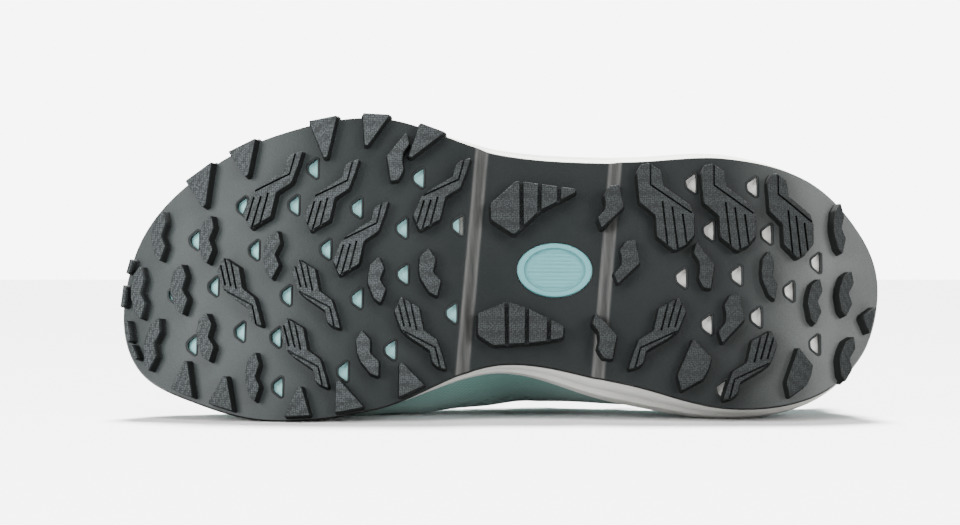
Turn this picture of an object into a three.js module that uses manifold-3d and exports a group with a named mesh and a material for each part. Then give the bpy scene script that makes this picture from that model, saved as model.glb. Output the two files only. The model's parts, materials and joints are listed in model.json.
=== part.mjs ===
// A left trail running shoe that lies on its inner side, with the tread turned towards -Y.
// The shoe is worked out standing: x from heel to toe, y to the outer side, z up from the ground.
// The last section turns it over to rest on its sole edge and its upper. Millimetres throughout.
import * as THREE from 'three';
import Module from 'manifold-3d';

const wasm = await Module();
wasm.setup();

// Driving sizes
const sole = {
  length: 296, // heel to toe
  half: 60, // half the width at the ball, which the outline is given in
  toeSpring: 24, // rise of the tread at the toe tip
  springStart: 0.66, // where the toe spring begins, as a share of the length
  heelBevel: 10, // rise of the tread at the back of the heel
  bevelEnd: 0.152, // where the heel bevel ends, as a share of the length
  lug: 5.4, // height of the lugs
  draft: 1.2, // how much wider a lug is at its foot
  plate: 1.8, // thickness of the rubber plate
  archRear: 0.351, // rear edge of the recess under the arch, as a share of the length
  archFront: 0.537, // front edge of the recess under the arch, as a share of the length
  archRamp: 5.5, // length of the sloped steps at both edges
  archLift: 3, // depth of the recess
  padDrop: 1.8, // how far the pads under the arch stay clear of the ground
};
const foam = {
  heelHeight: 31, // ground to the top of the midsole at the heel
  ballHeight: 22, // ground to the top of the midsole at the ball
  toeHeight: 15, // tread to the top of the midsole at the toe
  heelEnd: 0.27, // where the top starts to fall from the heel, as a share of the length
  ballStart: 0.64, // where the top has come down to the ball, as a share of the length
  groove: 1.6, // depth of the groove along the side
  sheet: 1.5, // thickness of the teal layer behind the windows
  sheetRear: 0.548, // rear end of the teal layer, as a share of the length
  sheetFront: 0.965, // front end of the teal layer, as a share of the length
  sheetInset: 4, // from the sole's outline to the teal layer
};
const upperSize = {
  collarHeight: 100, // ground to the back of the collar
  lip: 4.5, // from the midsole's top edge in to the upper
  wall: 2.4, // thickness of the upper
  padding: 3.6, // added thickness of the collar
  overlay: 1.0, // thickness of toe cap, counter and eyestay
};
const inside = {
  insole: 4, // thickness of the insole
  insoleInset: 1.2, // from the upper's wall to the insole
  tongue: 4, // thickness of the tongue
  tongueCrown: 5.5, // how far the tongue rises between the eyestays
  tongueLift: 0.8, // how far the tongue's free end turns up
  tongueReach: 24, // how far the tongue runs on past the top eyelets
};
const lace = { wide: 5, thick: 1.8, frontCrown: 5, topCrown: 10, rows: 6, firstRow: 0.84, lastRow: 0.52 };
const eyelet = { outer: 3, inner: 1.6, height: 1.1 };
const inset = { along: 0.427, across: 0.01, long: 29, wide: 21, rim: 2.2, rise: 1.2, pan: 1.4 };
const loop = { wide: 11, thick: 1.4, rise: 12 };
const gap = 0.3; // clearance between pieces that touch
const seatGap = 0.4; // clearance under the upper's lower edge
const soleGap = 0.45; // clearance between the rubber and the foam above it

// Sole outline: v is the place along the sole, where x = length * (1 - cos(pi v)) / 2.
// outer and inner are the two edges and flares are the midsole's overhang, all as shares of sole.half.
const outline = [
  { v: 0.0, outer: -0.08, inner: -0.08, outerFlare: 0.01, innerFlare: 0.01 },
  { v: 0.1, outer: 0.28, inner: -0.52, outerFlare: 0.02, innerFlare: 0.01 },
  { v: 0.2, outer: 0.61, inner: -0.81, outerFlare: 0.05, innerFlare: 0.01 },
  { v: 0.3, outer: 0.75, inner: -0.88, outerFlare: 0.085, innerFlare: 0.03 },
  { v: 0.4, outer: 0.72, inner: -0.72, outerFlare: 0.09, innerFlare: 0.09 },
  { v: 0.5, outer: 0.77, inner: -0.61, outerFlare: 0.07, innerFlare: 0.025 },
  { v: 0.6, outer: 0.995, inner: -0.9, outerFlare: 0.01, innerFlare: -0.03 },
  { v: 0.7, outer: 0.89, inner: -0.98, outerFlare: -0.02, innerFlare: -0.04 },
  { v: 0.8, outer: 0.62, inner: -0.84, outerFlare: -0.02, innerFlare: -0.03 },
  { v: 0.9, outer: 0.25, inner: -0.63, outerFlare: -0.02, innerFlare: -0.02 },
  { v: 1.0, outer: -0.25, inner: -0.25, outerFlare: -0.02, innerFlare: -0.02 },
];

// Ribs of the upper, one row for each v: where the rib ends at the collar or throat, and how it swells.
// topAlong is a share of the length, topHalf and the swells of sole.half, the heights of collarHeight.
// guard is the share of the rib that the toe cap, the counter and the mudguard line reach up to.
const ribs = [
  { v: 0.0, topAlong: 0.036, topHalf: 0.0, topUp: 1.0, lowOuter: 0.06, lowInner: 0.06, lowUp: 0.22,
    highOuter: -0.08, highInner: -0.08, highDown: 0.25, guard: 0.55 },
  { v: 0.1, topAlong: 0.048, topHalf: 0.25, topUp: 0.985, lowOuter: 0.06, lowInner: 0.06, lowUp: 0.22,
    highOuter: -0.04, highInner: -0.04, highDown: 0.25, guard: 0.53 },
  { v: 0.2, topAlong: 0.1, topHalf: 0.47, topUp: 0.91, lowOuter: 0.06, lowInner: 0.05, lowUp: 0.22,
    highOuter: 0.03, highInner: 0.03, highDown: 0.22, guard: 0.45 },
  { v: 0.3, topAlong: 0.2, topHalf: 0.57, topUp: 0.8, lowOuter: 0.05, lowInner: 0.03, lowUp: 0.22,
    highOuter: 0.07, highInner: 0.07, highDown: 0.18, guard: 0.31 },
  { v: 0.4, topAlong: 0.315, topHalf: 0.5, topUp: 0.88, lowOuter: 0.05, lowInner: 0.1, lowUp: 0.24,
    highOuter: 0.12, highInner: 0.22, highDown: 0.16, guard: 0.23 },
  { v: 0.5, topAlong: 0.405, topHalf: 0.3, topUp: 1.03, lowOuter: 0.05, lowInner: 0.25, lowUp: 0.26,
    highOuter: 0.42, highInner: 0.5, highDown: 0.14, guard: 0.2 },
  { v: 0.6, topAlong: 0.49, topHalf: 0.25, topUp: 0.965, lowOuter: 0.05, lowInner: 0.14, lowUp: 0.24,
    highOuter: 0.5, highInner: 0.55, highDown: 0.1, guard: 0.2 },
  { v: 0.7, topAlong: 0.575, topHalf: 0.235, topUp: 0.88, lowOuter: 0.06, lowInner: 0.08, lowUp: 0.22,
    highOuter: 0.52, highInner: 0.52, highDown: 0.07, guard: 0.24 },
  { v: 0.8, topAlong: 0.65, topHalf: 0.215, topUp: 0.81, lowOuter: 0.05, lowInner: 0.06, lowUp: 0.19,
    highOuter: 0.55, highInner: 0.55, highDown: 0.04, guard: 0.3 },
  { v: 0.9, topAlong: 0.695, topHalf: 0.14, topUp: 0.77, lowOuter: 0.04, lowInner: 0.04, lowUp: 0.17,
    highOuter: 0.64, highInner: 0.64, highDown: 0.01, guard: 0.37 },
  { v: 1.0, topAlong: 0.71, topHalf: 0.0, topUp: 0.76, lowOuter: 0.03, lowInner: 0.03, lowUp: 0.16,
    highOuter: 0.7, highInner: 0.7, highDown: 0.0, guard: 0.4 },
];
const centreShift = { heel: -0.03, toe: -0.12 }; // middle of the opening, as a share of sole.half

// Tread pieces: along is a share of the length, and across, tall and wide are shares of sole.half.
// turn is in degrees; flipHeel and flipSide mirror the piece along and across the sole.
const lugs = [
  { kind: 'zigzag', along: 0.951, across: 0.24, tall: 0.333, wide: 0.1, turn: 4 },
  { kind: 'zigzag', along: 0.885, across: 0.2, tall: 0.317, wide: 0.1, turn: 6 },
  { kind: 'zigzag', along: 0.797, across: 0.09, tall: 0.317, wide: 0.117, turn: 8 },
  { kind: 'zigzag', along: 0.978, across: -0.13, tall: 0.35, wide: 0.1, turn: 0 },
  { kind: 'zigzag', along: 0.921, across: -0.12, tall: 0.333, wide: 0.117, turn: 0 },
  { kind: 'zigzag', along: 0.884, across: -0.44, tall: 0.317, wide: 0.117, turn: -2 },
  { kind: 'zigzag', along: 0.957, across: -0.47, tall: 0.35, wide: 0.1, turn: 12 },
  { kind: 'zigzag', along: 0.819, across: -0.7, tall: 0.317, wide: 0.1, turn: 2 },
  { kind: 'zigzag', along: 0.659, across: -0.08, tall: 0.3, wide: 0.117, turn: 0 },
  { kind: 'zigzag', along: 0.67, across: -0.56, tall: 0.317, wide: 0.117, turn: -18 },
  { kind: 'zigzag', along: 0.591, across: -0.03, tall: 0.317, wide: 0.133, turn: -8 },
  { kind: 'bend', along: 0.633, across: 0.72, tall: 0.317, wide: 0.142, flipHeel: true, flipSide: true },
  { kind: 'bend', along: 0.355, across: 0.41, tall: 0.283, wide: 0.167 },
  { kind: 'bend', along: 0.334, across: 0.05, tall: 0.283, wide: 0.167 },
  { kind: 'bend', along: 0.363, across: -0.43, tall: 0.3, wide: 0.158, flipSide: true },
  { kind: 'bend', along: 0.234, across: 0.03, tall: 0.3, wide: 0.133, flipSide: true },
  { kind: 'bend', along: 0.199, across: -0.31, tall: 0.317, wide: 0.167 },
  { kind: 'zigzag', along: 0.15, across: -0.03, tall: 0.317, wide: 0.1, turn: -4 },
  { kind: 'zigzag', along: 0.09, across: -0.19, tall: 0.3, wide: 0.1, turn: 8 },
  { kind: 'zigzag', along: 0.048, across: -0.13, tall: 0.3, wide: 0.1, turn: 10 },
  { kind: 'zigzag', along: 0.056, across: 0.29, tall: 0.333, wide: 0.083, turn: 0 },
  { kind: 'zigzag', along: 0.048, across: -0.55, tall: 0.3, wide: 0.1, turn: 14 },
  { kind: 'claw', along: 0.797, across: 0.51, tall: 0.5, wide: 0.383 },
  { kind: 'claw', along: 0.719, across: 0.47, tall: 0.467, wide: 0.35 },
  { kind: 'claw', along: 0.68, across: 0.19, tall: 0.483, wide: 0.35 },
  { kind: 'claw', along: 0.575, across: 0.48, tall: 0.475, wide: 0.367 },
  { kind: 'claw', along: 0.838, across: -0.15, tall: 0.45, wide: 0.3, flipSide: true },
  { kind: 'claw', along: 0.737, across: -0.17, tall: 0.45, wide: 0.317, flipSide: true },
  { kind: 'claw', along: 0.751, across: -0.55, tall: 0.45, wide: 0.317, flipSide: true },
  { kind: 'claw', along: 0.601, across: -0.42, tall: 0.467, wide: 0.333, flipSide: true },
  { kind: 'heelClaw', along: 0.284, across: 0.41, tall: 0.567, wide: 0.367 },
  { kind: 'heelClaw', along: 0.202, across: 0.41, tall: 0.567, wide: 0.35 },
  { kind: 'heelClaw', along: 0.121, across: 0.36, tall: 0.55, wide: 0.3 },
  { kind: 'claw', along: 0.295, across: -0.41, tall: 0.467, wide: 0.367, flipHeel: true, flipSide: true },
  { kind: 'claw', along: 0.175, across: -0.61, tall: 0.45, wide: 0.35, flipHeel: true, flipSide: true },
  { kind: 'pentagon', along: 0.247, across: -0.61, tall: 0.333, wide: 0.217 },
  { kind: 'pentagon', along: 0.111, across: -0.65, tall: 0.317, wide: 0.175 },
  { kind: 'archOuter', along: 0.456, across: 0.4, tall: 0.35, wide: 0.55 },
  { kind: 'archInner', along: 0.471, across: -0.35, tall: 0.283, wide: 0.55 },
];
const edgeWedges = [
  { along: 0.913, side: 'outer', wide: 0.15, deep: 0.15 },
  { along: 0.868, side: 'outer', wide: 0.183, deep: 0.217 },
  { along: 0.818, side: 'outer', wide: 0.183, deep: 0.183 },
  { along: 0.727, side: 'outer', wide: 0.183, deep: 0.25 },
  { along: 0.668, side: 'outer', wide: 0.183, deep: 0.208 },
  { along: 0.599, side: 'outer', wide: 0.167, deep: 0.233 },
  { along: 0.915, side: 'inner', wide: 0.15, deep: 0.183 },
  { along: 0.862, side: 'inner', wide: 0.167, deep: 0.192 },
  { along: 0.759, side: 'inner', wide: 0.167, deep: 0.175 },
  { along: 0.69, side: 'inner', wide: 0.183, deep: 0.192 },
  { along: 0.622, side: 'inner', wide: 0.167, deep: 0.2 },
  { along: 0.006, side: 'inner', wide: 0.183, deep: 0.067 },
];
const windows = [
  [0.844, 0.42], [0.909, 0.21], [0.826, 0.13], [0.773, 0.42], [0.729, 0.13], [0.688, 0.4],
  [0.748, 0.66], [0.628, 0.27], [0.607, 0.6], [0.555, 0.29], [0.626, -0.03], [0.881, -0.1],
  [0.938, -0.14], [0.781, -0.17], [0.686, -0.19], [0.843, -0.4], [0.909, -0.48], [0.794, -0.44],
  [0.703, -0.66], [0.79, -0.76], [0.641, -0.52], [0.562, -0.28], [0.25, 0.58], [0.227, 0.27],
  [0.17, 0.56], [0.151, 0.25], [0.263, -0.04], [0.191, -0.02], [0.23, -0.34], [0.166, -0.29],
  [0.121, -0.12], [0.211, -0.76], [0.086, -0.46], [0.083, 0.07],
].map(([along, across]) => ({ along, across }));
const windowSize = { tall: 0.135, wide: 0.07 }; // shares of sole.half

// Top faces of the tread pieces, in shares of their own size: first towards the heel, then outwards
const tops = {
  zigzag: [[0.14, 0.5], [0.42, 0.25], [0.19, 0], [0.53, -0.2], [0.25, -0.5], [-0.1, -0.4], [-0.44, -0.08],
    [-0.45, 0.1], [-0.32, 0.34]],
  claw: [[0.5, 0.5], [0.33, 0.46], [0.24, 0.4], [0.19, 0.24], [-0.22, 0.05], [-0.36, -0.04], [-0.5, -0.3],
    [-0.38, -0.5], [-0.2, -0.42], [-0.03, -0.35], [0.06, -0.04], [0.32, 0.09], [0.43, 0.32]],
  bend: [[-0.04, 0.47], [0.31, 0.5], [0.5, -0.02], [-0.35, -0.5], [-0.5, -0.27], [-0.23, -0.09],
    [-0.19, 0.09], [-0.27, 0.27]],
  heelClaw: [[-0.43, 0.48], [-0.28, 0.5], [-0.08, 0.41], [-0.03, 0.23], [0.43, 0.02], [0.5, -0.1],
    [0.5, -0.33], [0.34, -0.44], [0.15, -0.5], [-0.15, -0.34], [-0.17, -0.1], [-0.45, 0.05], [-0.5, 0.39]],
  pentagon: [[-0.03, 0.5], [0.5, 0.14], [0.41, -0.08], [0.24, -0.27], [-0.38, -0.5], [-0.5, -0.2]],
  archOuter: [[-0.5, 0.07], [-0.2, 0.5], [0.5, 0.36], [0.49, 0.29], [0.08, -0.04], [-0.22, -0.5],
    [-0.49, -0.23]],
  archInner: [[-0.17, 0.5], [0.07, 0.36], [0.3, 0.14], [0.5, -0.05], [0.49, -0.32], [0.2, -0.42],
    [-0.32, -0.5], [-0.5, -0.27], [-0.5, 0.23], [-0.33, 0.36]],
  window: [[0.5, 0.5], [-0.4, 0.14], [-0.32, -0.18], [0.5, -0.5]],
};

// Finishes
const finishes = {
  rubber: { color: 0x43494a, roughness: 0.6 },
  whiteFoam: { color: 0xb6b5b1, roughness: 0.7 },
  tealFoam: { color: 0x86a7aa, roughness: 0.6 },
  mesh: { color: 0x4f7a76, roughness: 0.9 },
  film: { color: 0x3d605d, roughness: 0.5 },
  lining: { color: 0x6c7c7b, roughness: 0.95 },
  cord: { color: 0x9aa8a5, roughness: 0.8 },
};

// Small helpers
const lerp = (a, b, t) => a + (b - a) * t;
const clamp = (t) => Math.min(1, Math.max(0, t));
const ease = (t) => clamp(t) ** 2 * (3 - 2 * clamp(t));
const range = (count) => Array.from({ length: count }, (_, i) => i);

// Value at place s of a closed ring of numbers, on a smooth curve through all of them
function ringValue(numbers, s) {
  const count = numbers.length;
  const i = Math.floor(s);
  const t = s - i;
  const at = (k) => numbers[(((i + k) % count) + count) % count];
  const [a, b, c, d] = [at(-1), at(0), at(1), at(2)];
  return b + 0.5 * t * (c - a + t * (2 * a - 5 * b + 4 * c - d + t * (3 * (b - c) + d - a)));
}

// A table's two columns as one ring: w runs 0 to 1 up the outer side and 1 to 2 back down the inner side
function ringOf(table, outerColumn, innerColumn = outerColumn) {
  const up = table.map((row) => row[outerColumn]);
  const down = table.slice(1, -1).reverse().map((row) => row[innerColumn]);
  const numbers = [...up, ...down];
  return (w) => ringValue(numbers, w * (table.length - 1));
}

const edgeShare = ringOf(outline, 'outer', 'inner');
const flareShare = ringOf(outline, 'outerFlare', 'innerFlare');
const rib = {
  topAlong: ringOf(ribs, 'topAlong'),
  topUp: ringOf(ribs, 'topUp'),
  topHalf: ringOf(ribs.map((row) => ({ outer: row.topHalf, inner: -row.topHalf })), 'outer', 'inner'),
  lowOut: ringOf(ribs, 'lowOuter', 'lowInner'),
  lowUp: ringOf(ribs, 'lowUp'),
  highOut: ringOf(ribs, 'highOuter', 'highInner'),
  highDown: ringOf(ribs, 'highDown'),
  guard: ringOf(ribs, 'guard'),
};

// Sole surfaces
const placeOf = (share) => Math.acos(1 - 2 * share) / Math.PI;
const springStart = sole.springStart * sole.length;
const bevelEnd = sole.bevelEnd * sole.length;
const archRear = sole.archRear * sole.length;
const archFront = sole.archFront * sole.length;
const heelEnd = foam.heelEnd * sole.length;
const ballStart = foam.ballStart * sole.length;
const tread = (x) => {
  const spring = Math.max(0, (x - springStart) / (sole.length - springStart));
  const bevel = Math.max(0, (bevelEnd - x) / bevelEnd);
  return sole.toeSpring * spring ** 2.1 + sole.heelBevel * bevel ** 2;
};
const archShare = (x) => {
  const rear = (x - archRear) / sole.archRamp;
  const front = (archFront - x) / sole.archRamp;
  return clamp(Math.min(rear, front));
};
const plateBottom = (x) => tread(x) + sole.lug + sole.archLift * archShare(x);
const plateTop = (x) => plateBottom(x) + sole.plate;
const foamTop = (x) => {
  const down = ease((x - heelEnd) / (ballStart - heelEnd));
  const standing = lerp(foam.heelHeight, foam.ballHeight, down);
  const forward = clamp((x - ballStart) / (sole.length - ballStart));
  const rise = Math.max(0, (x - springStart) / (sole.length - springStart));
  return standing + sole.toeSpring * rise ** 2.1 - (foam.ballHeight - foam.toeHeight) * ease(forward);
};

// Point of the sole's outline at w, moved outwards by out, with the outward direction
function edgePoint(w, out = 0) {
  const at = (s) => {
    const v = s % 2;
    const x = (sole.length * (1 - Math.cos(Math.PI * v))) / 2;
    return new THREE.Vector2(x, sole.half * edgeShare(v));
  };
  const step = 0.004;
  const run = at(w + step).sub(at(w + 2 - step)).normalize();
  const outward = new THREE.Vector2(-run.y, run.x);
  return { point: at(w + 2).addScaledVector(outward, out), outward };
}
const topEdgeOut = (w) => sole.half * flareShare(w);

// Solids from grids of points. A grid is a list of rows, and each row a list of Vector3.
function solidMesh(points, triangles) {
  const geometry = new THREE.BufferGeometry();
  geometry.setAttribute('position', new THREE.Float32BufferAttribute(points.flatMap((p) => p.toArray()), 3));
  geometry.setIndex(triangles);
  return geometry;
}

// Closes two grids of the same size, low and high, with rings of side points between their borders
function closeGrids(low, high, sideRings = []) {
  const rows = low.length;
  const columns = low[0].length;
  const border = [
    ...range(columns - 1).map((j) => [0, j]),
    ...range(rows - 1).map((i) => [i, columns - 1]),
    ...range(columns - 1).map((j) => [rows - 1, columns - 1 - j]),
    ...range(rows - 1).map((i) => [rows - 1 - i, 0]),
  ];
  const points = [...low.flat(), ...high.flat()];
  const triangles = [];
  const quad = (a, b, c, d) => triangles.push(a, b, c, a, c, d);
  const lowIndex = (i, j) => i * columns + j;
  const highIndex = (i, j) => rows * columns + i * columns + j;
  for (const i of range(rows - 1)) {
    for (const j of range(columns - 1)) {
      quad(lowIndex(i, j), lowIndex(i, j + 1), lowIndex(i + 1, j + 1), lowIndex(i + 1, j));
      quad(highIndex(i, j), highIndex(i + 1, j), highIndex(i + 1, j + 1), highIndex(i, j + 1));
    }
  }
  const rings = [border.map(([i, j]) => lowIndex(i, j))];
  for (const ring of sideRings) {
    rings.push(border.map(([i, j], k) => points.push(ring(i, j, k)) - 1));
  }
  rings.push(border.map(([i, j]) => highIndex(i, j)));
  for (const r of range(rings.length - 1)) {
    for (const k of range(border.length)) {
      const next = (k + 1) % border.length;
      quad(rings[r][k], rings[r + 1][k], rings[r + 1][next], rings[r][next]);
    }
  }
  return solidMesh(points, triangles);
}

// Closes a list of rings that come back to the first, as a tube bent round on itself
function closeRings(rings) {
  const count = rings[0].length;
  const triangles = [];
  for (const r of range(rings.length)) {
    const here = r * count;
    const above = ((r + 1) % rings.length) * count;
    for (const k of range(count)) {
      const next = (k + 1) % count;
      triangles.push(here + k, here + next, above + next, here + k, above + next, above + k);
    }
  }
  return solidMesh(rings.flat(), triangles);
}

// Closes rings that end in a flat polygon at both ends
function closeEnds(rings) {
  const count = rings[0].length;
  const triangles = [];
  for (const r of range(rings.length - 1)) {
    for (const k of range(count)) {
      const next = (k + 1) % count;
      triangles.push(r * count + k, r * count + next, (r + 1) * count + next);
      triangles.push(r * count + k, (r + 1) * count + next, (r + 1) * count + k);
    }
  }
  const last = (rings.length - 1) * count;
  for (const k of range(count - 2)) {
    triangles.push(0, k + 2, k + 1, last, last + k + 1, last + k + 2);
  }
  return solidMesh(rings.flat(), triangles);
}

const volumeOf = (geometry) => {
  const at = geometry.getAttribute('position');
  const index = geometry.getIndex();
  const corner = (k) => new THREE.Vector3().fromBufferAttribute(at, index.getX(k));
  return range(index.count / 3).reduce((sum, t) => {
    return sum + corner(3 * t).dot(corner(3 * t + 1).cross(corner(3 * t + 2)));
  }, 0);
};
function facingOut(geometry) {
  if (volumeOf(geometry) < 0) {
    const index = geometry.getIndex().array;
    for (let k = 0; k < index.length; k += 3) {
      [index[k + 1], index[k + 2]] = [index[k + 2], index[k + 1]];
    }
  }
  return geometry;
}
function toSolid(geometry) {
  const out = facingOut(geometry);
  return new wasm.Manifold(new wasm.Mesh({
    numProp: 3,
    vertProperties: new Float32Array(out.getAttribute('position').array),
    triVerts: new Uint32Array(out.getIndex().array),
  }));
}
function fromSolid(solid) {
  const { vertProperties, triVerts } = solid.getMesh();
  const geometry = new THREE.BufferGeometry();
  geometry.setAttribute('position', new THREE.BufferAttribute(new Float32Array(vertProperties), 3));
  geometry.setIndex([...triVerts]);
  return geometry;
}

// Grid over the sole: v along, u across from the inner to the outer side, moved out by out(w)
function soleGrid(vs, us, out, height) {
  return vs.map((v) => {
    const outer = edgePoint(v, out(v)).point;
    const inner = edgePoint(2 - v, out(2 - v)).point;
    return us.map((u) => {
      const flat = inner.clone().lerp(outer, (u + 1) / 2);
      return new THREE.Vector3(flat.x, flat.y, height(flat.x, u));
    });
  });
}
const spread = (from, to, count) => range(count).map((i) => lerp(from, to, i / (count - 1)));
const tip = 0.025; // the grids stop just short of the heel and toe points

// Rows of the sole's grids: evenly spread, and one at each kink of the recess under the arch
const kinks = [0, sole.archRamp].flatMap((run) => [archRear + run, archFront - run]);
const kinkRows = kinks.map((x) => placeOf(x / sole.length));
const soleRows = [...spread(tip, 1 - tip, 37).filter((v) => kinkRows.every((k) => Math.abs(k - v) > 0.008)),
  ...kinkRows].sort((a, b) => a - b);

// Outsole
// Solid of a tread piece: its top face lies rise below the tread line, and its sides widen to its foot
function lugSolid(ring, rise = 0) {
  const flat = ring.map(([x, y]) => new THREE.Vector2(x, y));
  if (THREE.ShapeUtils.isClockWise(flat)) {
    flat.reverse();
  }
  const count = flat.length;
  const sides = flat.map((here, k) => {
    const before = here.clone().sub(flat[(k + count - 1) % count]).normalize();
    const after = flat[(k + 1) % count].clone().sub(here).normalize();
    const bisector = new THREE.Vector2(before.y + after.y, -before.x - after.x).normalize();
    return bisector;
  });
  const slope = (x) => (tread(x + 1) - tread(x - 1)) / 2;
  const foot = sole.lug + sole.archLift + 3 * sole.plate;
  const layer = (depth, grow) => flat.map((p, k) => {
    const x = p.x + grow * sides[k].x;
    const y = p.y + grow * sides[k].y;
    const up = new THREE.Vector3(-slope(p.x), 0, 1).normalize();
    return new THREE.Vector3(x, y, tread(x)).addScaledVector(up, depth);
  });
  const faces = THREE.ShapeUtils.triangulateShape(flat, []);
  const low = layer(-rise, 0);
  const high = layer(foot, (sole.draft * foot) / sole.lug);
  const triangles = [];
  for (const [a, b, c] of faces) {
    triangles.push(a, c, b, a + count, b + count, c + count);
  }
  for (const k of range(count)) {
    const next = (k + 1) % count;
    triangles.push(k, next, next + count, k, next + count, k + count);
  }
  return toSolid(solidMesh([...low, ...high], triangles));
}

function placedOutline(shape, { along, across, tall, wide, turn = 0, flipHeel = false, flipSide = false }) {
  const angle = THREE.MathUtils.degToRad(turn);
  return shape.map(([heelward, outward]) => {
    const back = heelward * wide * sole.half * (flipHeel ? -1 : 1);
    const side = outward * tall * sole.half * (flipSide ? -1 : 1);
    const x = along * sole.length - back * Math.cos(angle) - side * Math.sin(angle);
    const y = across * sole.half - back * Math.sin(angle) + side * Math.cos(angle);
    return [x, y];
  });
}

function wedgeOutline({ along, side, wide, deep }) {
  const v = placeOf(along);
  const { point, outward } = edgePoint(side === 'outer' ? v : 2 - v, -sole.draft);
  const run = new THREE.Vector2(-outward.y, outward.x);
  const corners = [[-0.5, 0], [0.5, 0], [0.12, 1], [-0.12, 1]];
  return corners.map(([across, depth]) => {
    const p = point.clone().addScaledVector(run, across * wide * sole.half);
    p.addScaledVector(outward, -depth * deep * sole.half);
    return [p.x, p.y];
  });
}

function ovalRing(share, height, grow = 0, count = 20) {
  return range(count).map((k) => {
    const angle = (2 * Math.PI * k) / count;
    const x = inset.along * sole.length + (share * inset.long / 2 + grow) * Math.cos(angle);
    const y = inset.across * sole.half + (share * inset.wide / 2 + grow) * Math.sin(angle);
    return new THREE.Vector3(x, y, height);
  });
}

function makeOutsole() {
  const us = [-1, 0, 1];
  const plain = () => 0;
  const low = soleGrid(soleRows, us, plain, plateBottom);
  const high = soleGrid(soleRows, us, plain, plateTop);
  let solid = toSolid(closeGrids(low, high));
  const wider = () => sole.draft * 8;
  const plateMiddle = soleGrid(soleRows, us, wider, (x) => plateBottom(x) + sole.plate / 2);
  const farAbove = soleGrid(soleRows, us, wider, (x) => plateTop(x) + 5 * sole.plate);
  const above = toSolid(closeGrids(plateMiddle, farAbove));
  for (const row of lugs) {
    const rise = row.kind.startsWith('arch') ? -sole.padDrop : 0;
    solid = solid.add(lugSolid(placedOutline(tops[row.kind], row), rise).subtract(above));
  }
  for (const row of edgeWedges) {
    solid = solid.add(lugSolid(wedgeOutline(row)).subtract(above));
  }
  for (const row of windows) {
    const ring = placedOutline(tops.window, { ...row, ...windowSize });
    solid = solid.subtract(lugSolid(ring, sole.plate));
  }
  const archFloor = plateBottom(inset.along * sole.length);
  const hole = [ovalRing(1, archFloor - 1, gap), ovalRing(1, archFloor + sole.plate + 1, gap)];
  return fromSolid(solid.subtract(toSolid(closeEnds(hole))));
}

function makeArchInset() {
  const floor = plateBottom(inset.along * sole.length);
  const rimShare = 1 - (2 * inset.rim) / inset.wide;
  const rings = [
    ovalRing(0.12, floor - inset.rise + inset.pan),
    ovalRing(rimShare, floor - inset.rise + inset.pan),
    ovalRing(rimShare + 0.04, floor - inset.rise),
    ovalRing(0.96, floor - inset.rise),
    ovalRing(1, floor - inset.rise + 0.5),
    ovalRing(1, floor + sole.plate),
  ];
  return closeEnds(rings);
}

// Teal layer in the forefoot, seated on the plate and let into the midsole
function sheetSolid(grow, top) {
  const vs = spread(placeOf(foam.sheetRear) - grow / 200, placeOf(foam.sheetFront) + grow / 200, 21);
  const us = [-1, 0, 1];
  const out = () => grow - foam.sheetInset;
  const low = soleGrid(vs, us, out, (x) => plateTop(x) + (grow > 0 ? -1 : gap));
  const high = soleGrid(vs, us, out, (x) => plateTop(x) + gap + top);
  return closeGrids(low, high);
}

// Midsole: the side goes up from the rubber's edge to the top edge with a groove and a small step
function makeMidsole() {
  const vs = soleRows;
  const us = [-1, 0, 1];
  const last = us.length - 1;
  const side = [
    { up: 0.0, out: 0.1, carve: 0 },
    { up: 0.16, out: 0.3, carve: 0.1 },
    { up: 0.3, out: 0.5, carve: 0 },
    { up: 0.4, out: 0.6, carve: 1 },
    { up: 0.5, out: 0.7, carve: 1 },
    { up: 0.58, out: 0.85, carve: 0 },
    { up: 0.9, out: 1, carve: 0 },
  ];
  const foot = -1.2;
  const low = soleGrid(vs, us, () => foot, (x) => plateTop(x) + soleGap);
  const high = soleGrid(vs, us, (w) => topEdgeOut(w) - 1, foamTop);
  const rings = side.map(({ up, out, carve }) => (i, j) => {
    const outerSide = j > last / 2;
    const v = vs[i];
    const w = outerSide ? v : 2 - v;
    const reach = lerp(foot, 0, clamp(up / 0.16)) + topEdgeOut(w) * out - foam.groove * carve;
    const here = edgePoint(w, reach).point;
    const other = edgePoint(2 - w, reach + topEdgeOut(2 - w) * out - topEdgeOut(w) * out).point;
    const u = us[j];
    const flat = outerSide ? other.lerp(here, (u + 1) / 2) : here.lerp(other, (u + 1) / 2);
    const bottom = plateTop(flat.x) + soleGap;
    return new THREE.Vector3(flat.x, flat.y, lerp(bottom, foamTop(flat.x), up));
  });
  const body = toSolid(closeGrids(low, high, rings.slice(1)));
  return fromSolid(body.subtract(toSolid(sheetSolid(gap, foam.sheet + gap))));
}

// Upper: a point of its outer surface at w around the sole and t from the sole up to the opening
function upperPoint(w, t) {
  const footOut = topEdgeOut(w) - upperSize.lip;
  const { point: foot, outward } = edgePoint(w, footOut);
  const out = new THREE.Vector3(outward.x, outward.y, 0);
  const tall = upperSize.collarHeight;
  const along = rib.topAlong(w);
  const middle = lerp(centreShift.heel, centreShift.toe, along);
  const low = new THREE.Vector3(foot.x, foot.y, foamTop(foot.x) + seatGap);
  const high = new THREE.Vector3(along * sole.length, (middle + rib.topHalf(w)) * sole.half, rib.topUp(w) * tall);
  const lowHandle = low.clone().addScaledVector(out, rib.lowOut(w) * sole.half);
  lowHandle.z += rib.lowUp(w) * tall;
  const highHandle = high.clone().addScaledVector(out, rib.highOut(w) * sole.half);
  highHandle.z -= rib.highDown(w) * tall;
  const curve = new THREE.CubicBezierCurve3(low, lowHandle, highHandle, high);
  return curve.getPoint(t);
}
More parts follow.
